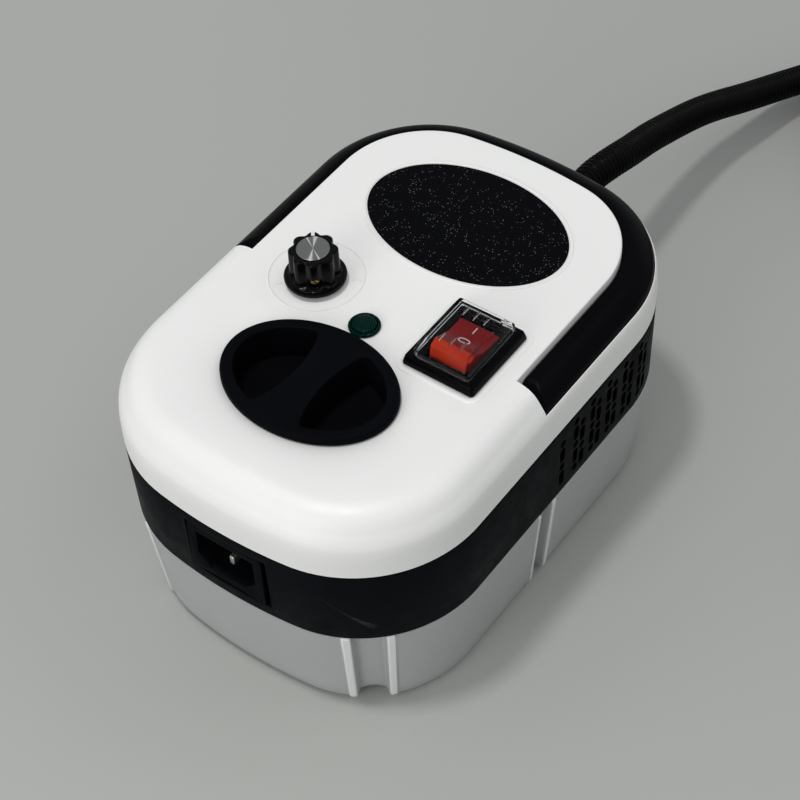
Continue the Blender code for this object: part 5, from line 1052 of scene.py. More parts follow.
def make_band():
    """Black middle band with its air slots, inlet pocket and the holes in its floor."""
    inner_lip = LIP_INSET + LIP_WIDTH
    floor = TANK_TOP + WALL
    profile = [
        (BAND_FLOOR_INSET, TANK_TOP), (BAND_DRAFT + EDGE, TANK_TOP),
        (BAND_DRAFT + EDGE / 4, TANK_TOP + EDGE / 4), (BAND_DRAFT, TANK_TOP + EDGE), (0, BAND_TOP - EDGE),
        (EDGE / 4, BAND_TOP - EDGE / 4), (EDGE, BAND_TOP), (LIP_INSET, BAND_TOP),
        (LIP_INSET, BAND_TOP + LIP_HEIGHT), (inner_lip, BAND_TOP + LIP_HEIGHT),
        (inner_lip, BAND_TOP - LIP_HEIGHT), (LIP_INSET, BAND_TOP - LIP_HEIGHT - LIP_WIDTH),
        (BAND_DRAFT + WALL, floor), (BAND_FLOOR_INSET, floor),
    ]
    stations = whole_loop()
    shape = close_ends(skin([ring(stations, inset, z) for inset, z in profile]))
    band = add_object("band", shape, FINISHES["band"])
    half_z = INLET_HEIGHT / 2
    pad_x, pad_z = INLET_HIGH.x + PAD_SIDE_MARGIN, half_z + PAD_TOP_MARGIN
    pad = block(
        "inlet_pad", (-pad_x, PAD_FRONT, BAND_MIDDLE - pad_z), (pad_x, PAD_BACK, BAND_MIDDLE + pad_z)
    )
    carve(band, pad, operation="UNION")
    pocket = block(
        "inlet_pocket", (INLET_LOW.x - GAP / 3, INLET_FRONT - OVERRUN, BAND_MIDDLE - half_z - GAP / 3),
        (INLET_HIGH.x + POCKET_SLACK, INLET_BACK + GAP, BAND_MIDDLE + half_z + 3 * GAP),
    )
    hole = block(
        "inlet_hole", (-INLET_HOLE_HALF_X, INLET_FRONT, BAND_MIDDLE - INLET_HOLE_HALF_Z),
        (INLET_HOLE_HALF_X, INLET_BACK + 2 * OVERRUN, BAND_MIDDLE + INLET_HOLE_HALF_Z),
    )
    suction = centre_of("suction_strainer")
    below, up = TANK_TOP - OVERRUN, (0, 0, 1)
    carve(
        band, pocket, hole,
        rod("gland_hole", GLAND_HOLE_RADIUS, 0.02, (0, HALF_LENGTH - 0.01, BAND_MIDDLE), (0, 1, 0)),
        rod("spout_hole", SPOUT_HOLE_RADIUS, 0.01, (0, FILLER_Y, below), up),
        rod("suction_hole", SUCTION_HOLE_RADIUS, 0.01, (suction.x, suction.y, below), up),
    )
    sinks = []
    for name in CASE_SCREWS:
        x, y = centre_of(name).xy
        sinks.append(rod("screw_sink", SCREW_SINK_RADIUS, SCREW_SINK_DEPTH, (x, y, below), up, 24))
    carve(band, *sinks)
    carve(band, air_slots(1), air_slots(-1))
    settle(band, "case", "mid_shell")


make_band()


# Tank

TANK_BASE_INSET = 0.0047
TANK_TOP_INSET = 0.0009
TANK_WALL = 0.002
TANK_END_STEPS = 8
FOOT_ROUND = 0.004
FLUTE_ANGLE = math.radians(51.9)
FLUTE_HALF_ANGLE = math.radians(10.6)
FLUTE_DEPTH = 0.003
SIDE_FLUTE_Y = -0.0062
SIDE_FLUTE_HALF = 0.0053
LIP_PROUD = 0.0005
ARCH_HEIGHT = 0.0031
ARCH_REACH = 0.009
FLUTE_MARKS = [-1.25 + 2.5 * i / 50 for i in range(51)]


def ramp(value, low, high):
    """Smooth rise from 0 to 1 between two values."""
    share = min(max((value - low) / (high - low), 0), 1)
    return share * share * (3 - 2 * share)


def flute(share):
    """Depth of a flute across its width: a flat floor, steep flanks and a flat raised lip on each side."""
    across = abs(share)
    lip = ramp(across, 0.68, 0.76) * (1 - ramp(across, 1.00, 1.10))
    return FLUTE_DEPTH * (1 - ramp(across, 0.58, 0.70)) - LIP_PROUD * lip


def arch(share):
    """How far the foot is raised across a flute."""
    return ARCH_HEIGHT * (1 + math.cos(math.pi * min(abs(share) / 0.9, 1))) / 2


def at_flute(share):
    """Depth, raised foot and whether a flute's lip is here, across its width."""
    return flute(share), arch(share), 0.69 < abs(share) < 1.05


def tank_quarter(sign_x, sign_y, backward):
    """Stations of one corner and half an end, close together across the flute."""
    marks = [(a, None) for a in quarter_angles(TANK_END_STEPS)]
    marks = [m for m in marks if abs(m[0] - FLUTE_ANGLE) > FLUTE_HALF_ANGLE * 1.3]
    marks += [(FLUTE_ANGLE + FLUTE_HALF_ANGLE * m, m) for m in FLUTE_MARKS]
    marks.sort(reverse=backward)
    return [station(a, sign_x, sign_y, *(() if m is None else at_flute(m))) for a, m in marks]


def tank_side(sign_x, backward):
    stations = []
    for mark in sorted(FLUTE_MARKS, reverse=backward):
        y = SIDE_FLUTE_Y + SIDE_FLUTE_HALF * mark
        stations.append(side_station(sign_x, y, False, False, *at_flute(mark)))
    return stations


def tank_stations():
    rear = tank_quarter(1, 1, False) + tank_quarter(-1, 1, True)[1:]
    front = tank_quarter(-1, -1, False) + tank_quarter(1, -1, True)[1:]
    return rear + tank_side(-1, True) + front + tank_side(1, False)


def tank_ring(stations, inset, z, lifted=True):
    """Ring at an inset from the outline, drawn in at the flutes and raised over their arched feet."""
    share = max(1 - z / ARCH_REACH, 0) if lifted else 0
    return [Vector((*(s.at - s.out * (inset + s.depth)), z + s.foot * share)) for s in stations]


def make_tank():
    """Milky water tank with rounded flutes, an arched foot below each and a wall of its real thickness; its
    flute lips are lighter in colour as a painted highlight.
    """
    stations = tank_stations()
    top = TANK_TOP - GAP
    outer = [
        (TANK_BASE_INSET + FOOT_ROUND * (1 - math.sin(a)), FOOT_ROUND * (1 - math.cos(a)))
        for a in quarter_turn(6)
    ]
    for share in (0.1, 0.2, 0.5, 1):
        inset = TANK_BASE_INSET + (TANK_TOP_INSET - TANK_BASE_INSET) * share
        outer.append((inset, FOOT_ROUND + (top - EDGE - FOOT_ROUND) * share))
    rim = [(TANK_TOP_INSET + EDGE, top), (TANK_TOP_INSET + TANK_WALL, top)]
    inner = [(inset + TANK_WALL, z + TANK_WALL * (1 - z / top)) for inset, z in reversed(outer[:-1])]
    rings = [tank_ring(stations, TANK_BASE_INSET + 4 * FOOT_ROUND, 0, False)]
    rings.append(tank_ring(stations, TANK_BASE_INSET + 2.2 * FOOT_ROUND, 0))
    rings += [tank_ring(stations, inset, z) for inset, z in outer + rim + inner]
    rings.append(tank_ring(stations, TANK_BASE_INSET + 4 * FOOT_ROUND, TANK_WALL, False))
    shape = skin(rings)
    # Faces between lip stations take the lighter lip plastic: a painted highlight on the flute lips
    for index, face in enumerate(shape.faces):
        nearby = stations[index % len(stations)], stations[(index + 1) % len(stations)]
        face.material_index = int(all(s.lip for s in nearby))
    tank = add_object("tank", close_ends(shape), FINISHES["frosted"])
    tank.data.materials.append(FINISHES["milky_painted_highlight"])
    for name in ("base_strip_front", "base_strip_rear"):
        low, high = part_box(name)
        width, length = high.x - low.x + 2 * GAP, high.y - low.y + 2 * GAP
        outline = rounded_rectangle(centre_of(name), width, length, length / 2 - WELD, 8)
        carve(tank, prism("strip_pocket", outline, -OVERRUN, high.z + GAP))
    settle(tank, "case", "water_tank", sharp=50)


make_tank()


# Handle

HANDLE_LOW, HANDLE_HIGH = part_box("carry_handle")
HANDLE_BACK_SHARES = ((0, 1), (0.055, 0.76), (0.21, 0.44), (0.45, 0.15), (0.70, 0))
ARM_END_RADIUS = 0.0076
PIVOT_Y = HANDLE_LOW.y + ARM_END_RADIUS
PIVOT_Z = 0.0910
SHOULDER_DROP = 0.0067
HANDLE_CORNER = 0.0011
HANDLE_EDGE = 0.0008
ARM_STEPS = 12


def make_handle():
    """Carrying handle: a bow with a rounded back and round arm ends."""
    outer, inner = RIM_WALL + GAP, PANEL_INSET - GAP
    span = inner - outer
    low, top = HANDLE_LOW.z, HANDLE_HIGH.z
    back = [(outer + span * across, top - SHOULDER_DROP * down) for across, down in HANDLE_BACK_SHARES]
    back = smooth([*back, (outer + span * 0.86, top - EDGE / 3)], 4)
    section = [Vector((outer + EDGE, low)), Vector((outer, low + EDGE)), *back]
    section += fillet((inner, top - EDGE / 2), (1, 0), (0, -1), HANDLE_CORNER)
    section += [Vector((inner, low + EDGE)), Vector((inner - EDGE, low))]
    ends = [PIVOT_Y - ARM_END_RADIUS * math.sin(a) for a in quarter_turn(ARM_STEPS)]
    stations = [side_station(1, y) for y in reversed(ends)] + half_loop(True)
    stations += [side_station(-1, y) for y in ends]
    rings = []
    for s in stations:
        reach = math.sqrt(max(ARM_END_RADIUS**2 - max(PIVOT_Y - s.at.y, 0) ** 2, 0))
        near = s.at.y < PIVOT_Y
        loop = []
        for inset, z in section:
            x, y = s.at - s.out * inset
            loop.append(Vector((x, y, min(max(z, PIVOT_Z - reach), PIVOT_Z + reach) if near else z)))
        rings.append(loop)
    handle = add_object("handle_bow", close_ends(skin(rings)), FINISHES["handle"])
    settle(round_edges(handle, HANDLE_EDGE, 60), "handle", "carry_handle", sharp=40)


make_handle()


# Filler cap and neck

CAP_CHAMFER = 0.0009
POCKET_REACH = 0.93
POCKET_STEPS = 32
POCKET_FLOOR = CAP_LOW.z + 0.0014
GRIP_BAR_STEPS = 24
GRIP_BAR_HALF = 0.0059
GRIP_BAR_FLARE = 0.0043
NECK_LOW, NECK_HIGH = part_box("filler_neck")
NECK_WALL = 0.0016
NECK_FLANGE = 0.0030
CUP_DEPTH = 0.0150
SPOUT_RADIUS = 0.0150
SPOUT_TOP = PANEL_TOP - 0.0240


def pocket_outline(side, half_x, half_y):
    """One finger pocket: a curved outer wall and the bowed side of the grip bar."""
    outline = []
    for i in range(POCKET_STEPS + 1):
        angle = math.asin(POCKET_REACH) * (2 * i / POCKET_STEPS - 1)
        outline.append((side * half_x * math.cos(angle), FILLER_Y + half_y * math.sin(angle)))
    for i in range(1, GRIP_BAR_STEPS):
        along = half_y * POCKET_REACH * (1 - 2 * i / GRIP_BAR_STEPS)
        x = GRIP_BAR_HALF + GRIP_BAR_FLARE * (along / half_y) ** 2
        outline.append((side * x, FILLER_Y + along))
    return outline if side > 0 else list(reversed(outline))


def make_cap():
    """Filler cap with a chamfered rim, two deep finger pockets and the grip bar between them."""
    low, top, bottom = PANEL_TOP + GAP, CAP_HIGH.z, CAP_LOW.z
    half_x, half_y = CAP_HALF
    plug, slope = OPENING_INSET + GAP, CAP_CHAMFER
    sizes = [
        (plug + 4 * EDGE, bottom), (plug + EDGE, bottom), (plug, bottom + EDGE), (plug, low), (EDGE, low),
        (0, low + EDGE), (0, top - 1.4 * slope), (slope * 0.25, top - slope * 0.7),
        (slope * 0.7, top - slope * 0.2), (slope * 1.6, top), (slope * 3, top),
    ]
    rings = [oval(half_x - inset, half_y - inset, FILLER_Y, z, 128) for inset, z in sizes]
    cap = add_object("cap", close_ends(skin(rings)), FINISHES["cap"])
    cutters = []
    for side in (-1, 1):
        outline = pocket_outline(side, half_x - CAP_RIM, half_y - CAP_RIM)
        cutters.append(prism(f"pocket_{side}", outline, POCKET_FLOOR, top + OVERRUN))
    carve(cap, *cutters)
    settle(round_edges(cap, 0.00045, 50, 3), "cap", "filler_cap")


def make_neck():
    """Cup and spout below the cap."""
    wall, flange = NECK_WALL, NECK_FLANGE
    end, top = NECK_LOW.z, NECK_HIGH.z
    floor = top - CUP_DEPTH

    def cup(grow, z):
        return oval(CAP_HALF[0] - OPENING_INSET + grow, CAP_HALF[1] - OPENING_INSET + grow, FILLER_Y, z, 72)

    def spout(grow, z):
        return oval(SPOUT_RADIUS + grow, SPOUT_RADIUS + grow, FILLER_Y, z, 72)

    rings = [
        spout(0, end), spout(0, SPOUT_TOP), cup(wall - EDGE, floor - EDGE / 2), cup(wall, floor + EDGE),
        cup(wall, top - wall), cup(flange, top - wall), cup(flange, top), cup(EDGE, top), cup(0, top - EDGE),
        cup(0, floor + wall + EDGE), cup(-EDGE, floor + wall), spout(EDGE - wall, SPOUT_TOP + wall),
        spout(-wall, SPOUT_TOP + wall - EDGE), spout(-wall, end),
    ]
    neck = add_object("filler_cup", skin(rings, closed_along=True), FINISHES["band"])
    settle(neck, "case", "filler_neck")


def make_label():
    low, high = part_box("label_plate")
    sizes = [
        (EDGE, low.z), (0, low.z + EDGE / 4), (0, high.z - EDGE / 4), (EDGE / 3, high.z), (3 * EDGE, high.z)
    ]
    rings = [oval(LABEL_HALF[0] - inset, LABEL_HALF[1] - inset, LABEL_Y, z, 128) for inset, z in sizes]
    settle(add_object("label", close_ends(skin(rings)), FINISHES["label"]), "case", "label_plate")


make_cap()
make_neck()
make_label()


# Knob and lamp

KNOB_STEPS = 192
GRIP_FLUTES = 8
GRIP_DEPTH = 0.0013
GRIP_RADIUS = 0.0088
SKIRT_RADIUS = (KNOB_HIGH.x - KNOB_LOW.x) / 2
SKIRT_FOOT = 0.0013
SKIRT_HEIGHT = 0.0020
HUB_RADIUS = 0.0052
INSERT_RADIUS = 0.0058
POINTER_WIDTH = 0.0012
POINTER_DEPTH = 0.0030
SCREW_RADIUS = 0.0015
SCREW_START = 0.0034
SCREW_END = 0.0073
SCREW_HOLE_RADIUS = 0.0020
DRIVER_SLOT_HALF = 0.0003
DRIVER_SLOT_DEPTH = 0.0009
DRIVER_SLOT_TURN = math.radians(50)
LAMP_NECK_RADIUS = 0.0040
LAMP_RING_SHARES = ((1, 0.30), (0.97, 0.44), (0.90, 0.55), (0.84, 0.52), (0.79, 0.26))
LAMP_DOME_SHARE = 0.74


def knob_ring(radius, depth, z):
    """Ring round the knob, drawn in at its eight hollows."""
    points = []
    for angle in full_turn(KNOB_STEPS):
        hollow = (1 - math.cos(GRIP_FLUTES * (angle - POINTER))) / 2
        r = radius - depth * hollow**1.4
        points.append(Vector((KNOB_X + r * math.cos(angle), KNOB_Y + r * math.sin(angle), z)))
    return points


def make_knob():
    """Control knob: hub under a round skirt, hollowed grip, bright insert and a white pointer line."""
    base, top = KNOB_LOW.z, KNOB_HIGH.z
    skirt = base + SKIRT_FOOT
    grip = skirt + SKIRT_HEIGHT
    depth, seat = GRIP_DEPTH, INSERT_RADIUS + 0.6 * EDGE
    sizes = [
        (HUB_RADIUS - EDGE, 0, base), (HUB_RADIUS, 0, base + EDGE), (HUB_RADIUS, 0, skirt),
        (SKIRT_RADIUS - EDGE, 0, skirt), (SKIRT_RADIUS, 0, skirt + EDGE),
        (SKIRT_RADIUS, 0, skirt + SKIRT_HEIGHT * 0.62),
        (SKIRT_RADIUS - EDGE, 0, skirt + SKIRT_HEIGHT * 0.78), (SKIRT_RADIUS - 3 * EDGE, 0, grip - EDGE),
        (GRIP_RADIUS + 2 * EDGE, 0, grip - EDGE / 2), (GRIP_RADIUS + EDGE, depth * 0.9, grip),
        (GRIP_RADIUS, depth, grip + EDGE), (GRIP_RADIUS - EDGE / 2, depth, top - 2 * EDGE),
        (GRIP_RADIUS - 0.8 * EDGE, depth, top - EDGE), (GRIP_RADIUS - 2 * EDGE, depth * 0.9, top),
        (INSERT_RADIUS + 2 * EDGE, 0, top), (INSERT_RADIUS + 0.8 * EDGE, 0, top), (seat, 0, top - EDGE),
        (seat, 0, top - 2 * EDGE),
    ]
    knob = add_object("knob", close_ends(skin([knob_ring(*size) for size in sizes])), FINISHES["knob"])
    out = Vector((math.cos(POINTER), math.sin(POINTER), 0))
    middle = Vector((KNOB_X, KNOB_Y, centre_of("knob_set_screw").z))
    carve(knob, rod("screw_hole", SCREW_HOLE_RADIUS, 0.02, middle - out * 0.003, -out, 24))
    settle(knob, "knob", "control_knob")
    make_insert()
    make_set_screw(middle, out)
    make_pointer(out, top)


def make_insert():
    """Bright disc let into the knob's top."""
    low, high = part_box("knob_insert")
    radius, edge = INSERT_RADIUS, EDGE / 2
    profile = [
        (0, low.z), (radius - edge, low.z), (radius, low.z + edge), (radius, high.z - edge),
        (radius - edge, high.z), (radius - 3 * edge, high.z), (0, high.z),
    ]
    # The turned finish has painted glints: bright streaks painted into its colour
    insert = turned("knob_disc", profile, (KNOB_X, KNOB_Y, 0), (0, 0, 1), FINISHES["turned"], 96)
    settle(insert, "knob", "knob_insert")


def make_set_screw(middle, out):
    """Slotted screw in the knob's back, on the far side from the pointer."""
    radius, end = SCREW_RADIUS, SCREW_END
    profile = [
        (0, SCREW_START), (radius, SCREW_START), (radius, end - EDGE / 2), (radius - EDGE / 2, end), (0, end)
    ]
    screw = turned("grub_screw", profile, middle, -out, FINISHES["brass"], 32)
    slot = block(
        "driver_slot", (-DRIVER_SLOT_HALF, -radius * 1.2, end - DRIVER_SLOT_DEPTH),
        (DRIVER_SLOT_HALF, radius * 1.2, end + OVERRUN),
    )
    slot.data.transform(toward(middle, -out) @ Matrix.Rotation(DRIVER_SLOT_TURN, 4, "Z"))
    carve(screw, slot)
    settle(screw, "knob", "knob_set_screw")


def make_pointer(out, top):
    """White line let into the ridge of the grip that points at the dial."""
    outline = bar_outline((KNOB_X, KNOB_Y), out.xy, INSERT_RADIUS + EDGE, GRIP_RADIUS - EDGE, POINTER_WIDTH)
    line = prism("pointer_line", outline, top - POINTER_DEPTH, top + EDGE / 5, FINISHES["ink"])
    settle_mark(line, "knob")


def make_lamp():
    """Green pilot lens with a ring shoulder and a low dome."""
    x, y = centre_of("lamp_lens").xy
    radius = (LAMP_HIGH.x - LAMP_LOW.x) / 2
    neck, base = LAMP_NECK_RADIUS, PANEL_TOP + GAP
    rise = LAMP_HIGH.z - base
    profile = [
        (0, LAMP_LOW.z), (neck, LAMP_LOW.z), (neck, base), (radius - EDGE / 2, base),
        (radius, base + EDGE / 2),
    ]
    profile += [(radius * across, base + rise * up) for across, up in LAMP_RING_SHARES]
    for angle in quarter_turn(10):
        up = 0.62 + 0.38 * math.sin(angle)
        profile.append((radius * LAMP_DOME_SHARE * math.cos(angle), base + rise * up))
    profile[-1] = (0, profile[-1][1])
    lens = turned("lamp_glass", profile, (x, y, 0), (0, 0, 1), FINISHES["green"], 64)
    settle(lens, "case", "lamp_lens", sharp=40)


make_knob()
make_lamp()


# Switch

FRAME_TAPER = 0.0016
FRAME_CORNER = 0.0011
SWITCH_BODY = (0.0215, 0.0280)
SWITCH_BODY_LOW = SWITCH_LOW.z + 0.006
CAVE_FLOOR = PANEL_TOP - 0.0060
BLADE_OFFSET = 0.0070
BLADE_HALF = (0.0031, 0.0004)
BLADE_HEIGHT = 0.0066
ROCKER_WIDTH = 0.0152
ROCKER_LENGTH = 0.0196
ROCKER_TILT = math.radians(14)
ROCKER_END_RISE = 0.0055
ROCKER_MID_RISE = 0.0040
ROCKER_NOSE_DROP = 0.0019
ROCKER_RIDGE_SHARE = 0.74
ROCKER_DEPTH = 0.0026
ROCKER_PIVOT_RISE = 0.0006
ROCKER_MARK_WIDTH = 0.00036
MARK_ON_START = 0.0036
MARK_ON_LENGTH = 0.0028
MARK_OFF_PLACE = -0.0013
MARK_OFF_HALF = (0.0021, 0.0013)
DOME_LOW, DOME_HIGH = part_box("switch_cover")
DOME_WALL = 0.0008
DOME_SHOULDER = DOME_LOW.z + 0.0026
DOME_TOP_WIDTH = 0.0190
DOME_TOP_LENGTH = 0.0224
RIB_SPACING = 0.0042
RIB_LENGTH = 0.0040
RIB_WIDTH = 0.00022


def flat_ring(width, length, radius, z):
    return [Vector((*p, z)) for p in rounded_rectangle((SWITCH_X, SWITCH_Y), width, length, radius)]


def make_switch():
    """Switch frame with its cave, and then what it holds."""
    base, top, taper = PANEL_TOP + GAP, SWITCH_HIGH.z, FRAME_TAPER
    cave_x, cave_y = ROCKER_WIDTH + 4 * GAP, ROCKER_LENGTH + 10 * GAP
    seat = DOME_HIGH - DOME_LOW
    sizes = [(*SWITCH_BODY, SWITCH_BODY_LOW), (*SWITCH_BODY, base)]
    for inset, z in (
        (EDGE, base), (0, base + EDGE / 2), (0, base + taper / 2), (taper - EDGE, top - EDGE),
        (taper, top - EDGE / 4), (taper + EDGE, top),
    ):
        sizes.append((SWITCH_WIDTH - inset, SWITCH_LENGTH - inset, z))
    sizes += [
        (seat.x + 2 * EDGE, seat.y + 2 * EDGE, top), (cave_x + EDGE, cave_y + EDGE, top),
        (cave_x, cave_y, top - EDGE / 2), (cave_x, cave_y, CAVE_FLOOR),
    ]
    rings = [flat_ring(across, along, FRAME_CORNER * across / SWITCH_WIDTH, z) for across, along, z in sizes]
    housing = add_object("switch_frame", close_ends(skin(rings)), FINISHES["gloss"])
    settle(housing, "case", "switch_housing")
    make_terminals()
    make_rocker()
    make_rocker_marks()
    make_dome()


def make_terminals():
    """Tinned blades below the switch."""
    half_x, half_y = BLADE_HALF
    for index, side in enumerate((-1, 1)):
        y = SWITCH_Y + side * BLADE_OFFSET
        low = (SWITCH_X - half_x, y - half_y, SWITCH_LOW.z)
        high = (SWITCH_X + half_x, y + half_y, SWITCH_LOW.z + BLADE_HEIGHT)
        blade = block(f"switch_blade_{index + 1}", low, high, FINISHES["steel"])
        settle_mark(round_edges(blade, 0.0002), "case")


def rocker_top(along):
    """Height above the pivot of the hollowed top and of the nose that slopes down at each end."""
    share = abs(along) / (ROCKER_LENGTH / 2 * ROCKER_RIDGE_SHARE)
    if share <= 1:
        return ROCKER_MID_RISE + (ROCKER_END_RISE - ROCKER_MID_RISE) * share**1.6
    return ROCKER_END_RISE - ROCKER_NOSE_DROP * (share - 1) / (1 / ROCKER_RIDGE_SHARE - 1)


def rocker_point(x, along, height):
    """Place on the tilted rocker."""
    cosine, sine = math.cos(-ROCKER_TILT), math.sin(-ROCKER_TILT)
    y = SWITCH_Y + along * cosine - height * sine
    return Vector((x, y, PANEL_TOP + ROCKER_PIVOT_RISE + along * sine + height * cosine))


def make_rocker():
    """Rocker with a hollowed red top, and orange on its front nose and the face below it."""
    half, wide, ridge = ROCKER_LENGTH / 2, ROCKER_WIDTH / 2, ROCKER_RIDGE_SHARE
    shares = [-0.98, -ridge - 0.03, *[ridge * (t / 9 - 1) for t in range(19)], ridge + 0.03, 0.98]
    section = [(half * share, rocker_top(half * share)) for share in shares]
    nose = ROCKER_END_RISE - ROCKER_NOSE_DROP * 1.12
    side, bottom = -ROCKER_DEPTH * 0.4, -ROCKER_DEPTH
    section += [(half, nose), (half, side), (half * 0.4, bottom)]
    section += [(-half * 0.4, bottom), (-half, side), (-half, nose)]
    rings = []
    for x, shrink in ((-wide, EDGE), (-wide + EDGE, 0), (wide - EDGE, 0), (wide, EDGE)):
        loop = []
        for along, height in section:
            height -= math.copysign(shrink, height)
            loop.append(rocker_point(SWITCH_X + x, along * (1 - shrink / half), height))
        rings.append(loop)
    rocker = add_object("rocker", close_ends(skin(rings)), FINISHES["red"])
    rocker.data.materials.append(FINISHES["orange"])
    settle(rocker, "rocker", "switch_rocker", sharp=30)
    front = Vector((0, -math.cos(ROCKER_TILT), math.sin(ROCKER_TILT)))
    ridge_y = rocker_point(SWITCH_X, -half * (ridge + 0.01), ROCKER_END_RISE).y
    for face in rocker.data.polygons:
        if face.normal.dot(front) > 0.8 or (face.normal.z > 0.5 and face.center.y < ridge_y):
            face.material_index = 1


def laid_strip(name, line, closed=False):
    """Ink line laid on the rocker's top along (x, along) points."""
    last = len(line) - 1
    rings = []
    for index, spot in enumerate(line):
        before, after = index - 1, index + 1
        if closed:
            after %= len(line)
        else:
            before, after = max(before, 0), min(after, last)
        ahead = (Vector(line[after]) - Vector(line[before])).normalized()
        across = Vector((-ahead.y, ahead.x)) * ROCKER_MARK_WIDTH / 2
        loop = []
        for side, lift in ((-1, -0.00004), (-1, 0.00006), (1, 0.00006), (1, -0.00004)):
            x, along = Vector(spot) + across * side
            loop.append(rocker_point(x, along, rocker_top(along) + lift))
        rings.append(loop)
    strip = add_object(name, close_ends(skin(rings, closed_along=closed)), FINISHES["ink"])
    settle_mark(strip, "rocker")


def make_rocker_marks():
    """ON and OFF marks."""
    laid_strip("mark_on", [(SWITCH_X, MARK_ON_START + MARK_ON_LENGTH * i / 6) for i in range(7)])
    half_x, half_y = MARK_OFF_HALF
    loop = [(SWITCH_X + half_x * math.cos(t), MARK_OFF_PLACE + half_y * math.sin(t)) for t in full_turn(40)]
    laid_strip("mark_off", loop, closed=True)


def make_dome():
    """Clear cap over the rocker, with a soft shoulder, its real wall and fine ribs under its flat."""
    wall, shoulder, low, top = DOME_WALL, DOME_SHOULDER, DOME_LOW.z, DOME_HIGH.z
    full = DOME_HIGH - DOME_LOW
    width, length = full.x - wall, full.y - wall / 2
    flat_x, flat_y = DOME_TOP_WIDTH, DOME_TOP_LENGTH
    sizes = [
        (flat_x - 6 * wall, flat_y - 6 * wall, top - wall),
        (flat_x - 3 * wall, flat_y - 3 * wall, top - wall),
        (flat_x - 2 * wall, flat_y - 2 * wall, top - 1.6 * wall),
        (width - 2 * wall, length - 2 * wall, shoulder - wall / 2), (width - wall, length - 2 * wall, low),
        (width + wall, length + wall / 2, low), (width + wall / 2, length, low + wall),
        (width, length, shoulder), (flat_x + wall / 3, flat_y + wall / 3, top - 1.1 * wall),
        (flat_x - wall / 4, flat_y - wall / 4, top - wall / 3), (flat_x - wall, flat_y - wall, top),
        (flat_x - 4 * wall, flat_y - 4 * wall, top),
    ]
    rings = [flat_ring(across, along, FRAME_CORNER * 0.8, z) for across, along, z in sizes]
    dome = add_object("switch_dome", close_ends(skin(rings)), FINISHES["clear"])
    settle(dome, "case", "switch_cover", sharp=25)
    for end, name in ((-1, "front"), (1, "rear")):
        for place in (-1, 0, 1):
            make_dome_rib(f"dome_rib_{name}_{place + 2}", place, end)


def make_dome_rib(name, place, end):
    """Fine rib under the flat of the dome, running in from its front or rear end."""
    under = DOME_HIGH.z - DOME_WALL
    reach = DOME_TOP_LENGTH / 2 - 3 * DOME_WALL
    x = SWITCH_X + place * RIB_SPACING
    near, far = sorted((SWITCH_Y + end * reach, SWITCH_Y + end * (reach - RIB_LENGTH)))
    rib = block(
        name, (x - RIB_WIDTH / 2, near, under - RIB_WIDTH), (x + RIB_WIDTH / 2, far, under + OVERRUN / 4),
        FINISHES["clear"],
    )
    settle_mark(round_edges(rib, RIB_WIDTH / 4), "case")


make_switch()


# Mains inlet

FACE_CORNER = 0.0012
SOCKET_BODY = (0.027, 0.0198)
SOCKET_OVERLAP = 0.001
SOCKET_BODY_CORNER = 0.002
CAVITY_HALF_X = 0.0121
CAVITY_HALF_Z = 0.00815
CAVITY_KEY = 0.0050
CAVITY_DEPTH = 0.0165
BLADE_STEP = 0.0025
PINS = ("left", "earth", "right")


def make_inlet():
    """Socket with a chamfered face, a keyed cavity and rounded blades, the earth reaching furthest out."""
    centre = (0, BAND_MIDDLE)
    face = rounded_rectangle(centre, INLET_WIDTH, INLET_HEIGHT, FACE_CORNER)
    socket = prism("inlet_face", face, INLET_FRONT, INLET_BACK, FINISHES["socket"], True, 0.0003)
    body = rounded_rectangle(centre, *SOCKET_BODY, SOCKET_BODY_CORNER)
    body = prism("inlet_body", body, INLET_BACK - SOCKET_OVERLAP, INLET_HIGH.y, upright=True)
    carve(socket, body, operation="UNION")
    half_x, half_z, key = CAVITY_HALF_X, CAVITY_HALF_Z, CAVITY_KEY
    keyed = [
        (-half_x, half_z), (-half_x, key - half_z), (key - half_x, -half_z), (half_x - key, -half_z),
        (half_x, key - half_z), (half_x, half_z),
    ]
    keyed = [(x, BAND_MIDDLE + z) for x, z in keyed]
    front = INLET_FRONT
    cutters = [prism("inlet_cavity", keyed, front - OVERRUN, front + CAVITY_DEPTH, upright=True)]
    for pin in PINS:
        low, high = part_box(f"inlet_pin_{pin}")
        grow = Vector((GAP, 0, GAP))
        cutters.append(block(f"way_{pin}", low - grow, high + grow))
    carve(socket, *cutters)
    settle(round_edges(socket, 0.00025, 40), "case", "power_inlet")
    for pin in PINS:
        low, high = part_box(f"inlet_pin_{pin}")
        if pin != "earth":
            low.y += BLADE_STEP
        blade = block(f"blade_{pin}", low, high, FINISHES["steel"])
        settle(round_edges(blade, 0.0005, segments=3), "case", f"inlet_pin_{pin}")


make_inlet()


# Gun

GUN_RELIEF_LENGTH = 0.020
GUN_RELIEF_RADIUS = 0.0085
GUN_LENGTH = 0.128
GUN_BODY_END = GUN_RELIEF_LENGTH + GAP + GUN_LENGTH
GUN_WALL = 0.0020
GUN_HALF_WIDTH = 0.0160
GUN_EDGE_ROUND = 0.0055
GUN_WIDTH_SHARES = (
    (0.0, 0.60), (0.08, 0.80), (0.25, 0.95), (0.45, 1.0), (0.62, 0.86), (0.80, 0.84), (0.93, 0.72),
    (1.0, 0.46),
)
TRIGGER_START = GUN_RELIEF_LENGTH + GUN_LENGTH * 0.36
TRIGGER_END = GUN_RELIEF_LENGTH + GUN_LENGTH * 0.72
TRIGGER_THICKNESS = 0.0090
TRIGGER_STAND = 0.0085
TRIGGER_ROOT = 0.0040
TRIGGER_PIVOT_RADIUS = 0.0020
TRIGGER_CLEARANCE = 0.0022
COLLAR_RADIUS = 0.0072
COLLAR_LENGTH = 0.010
COLLAR_END = GUN_BODY_END + GAP + COLLAR_LENGTH
NOZZLE_RADIUS = 0.0045
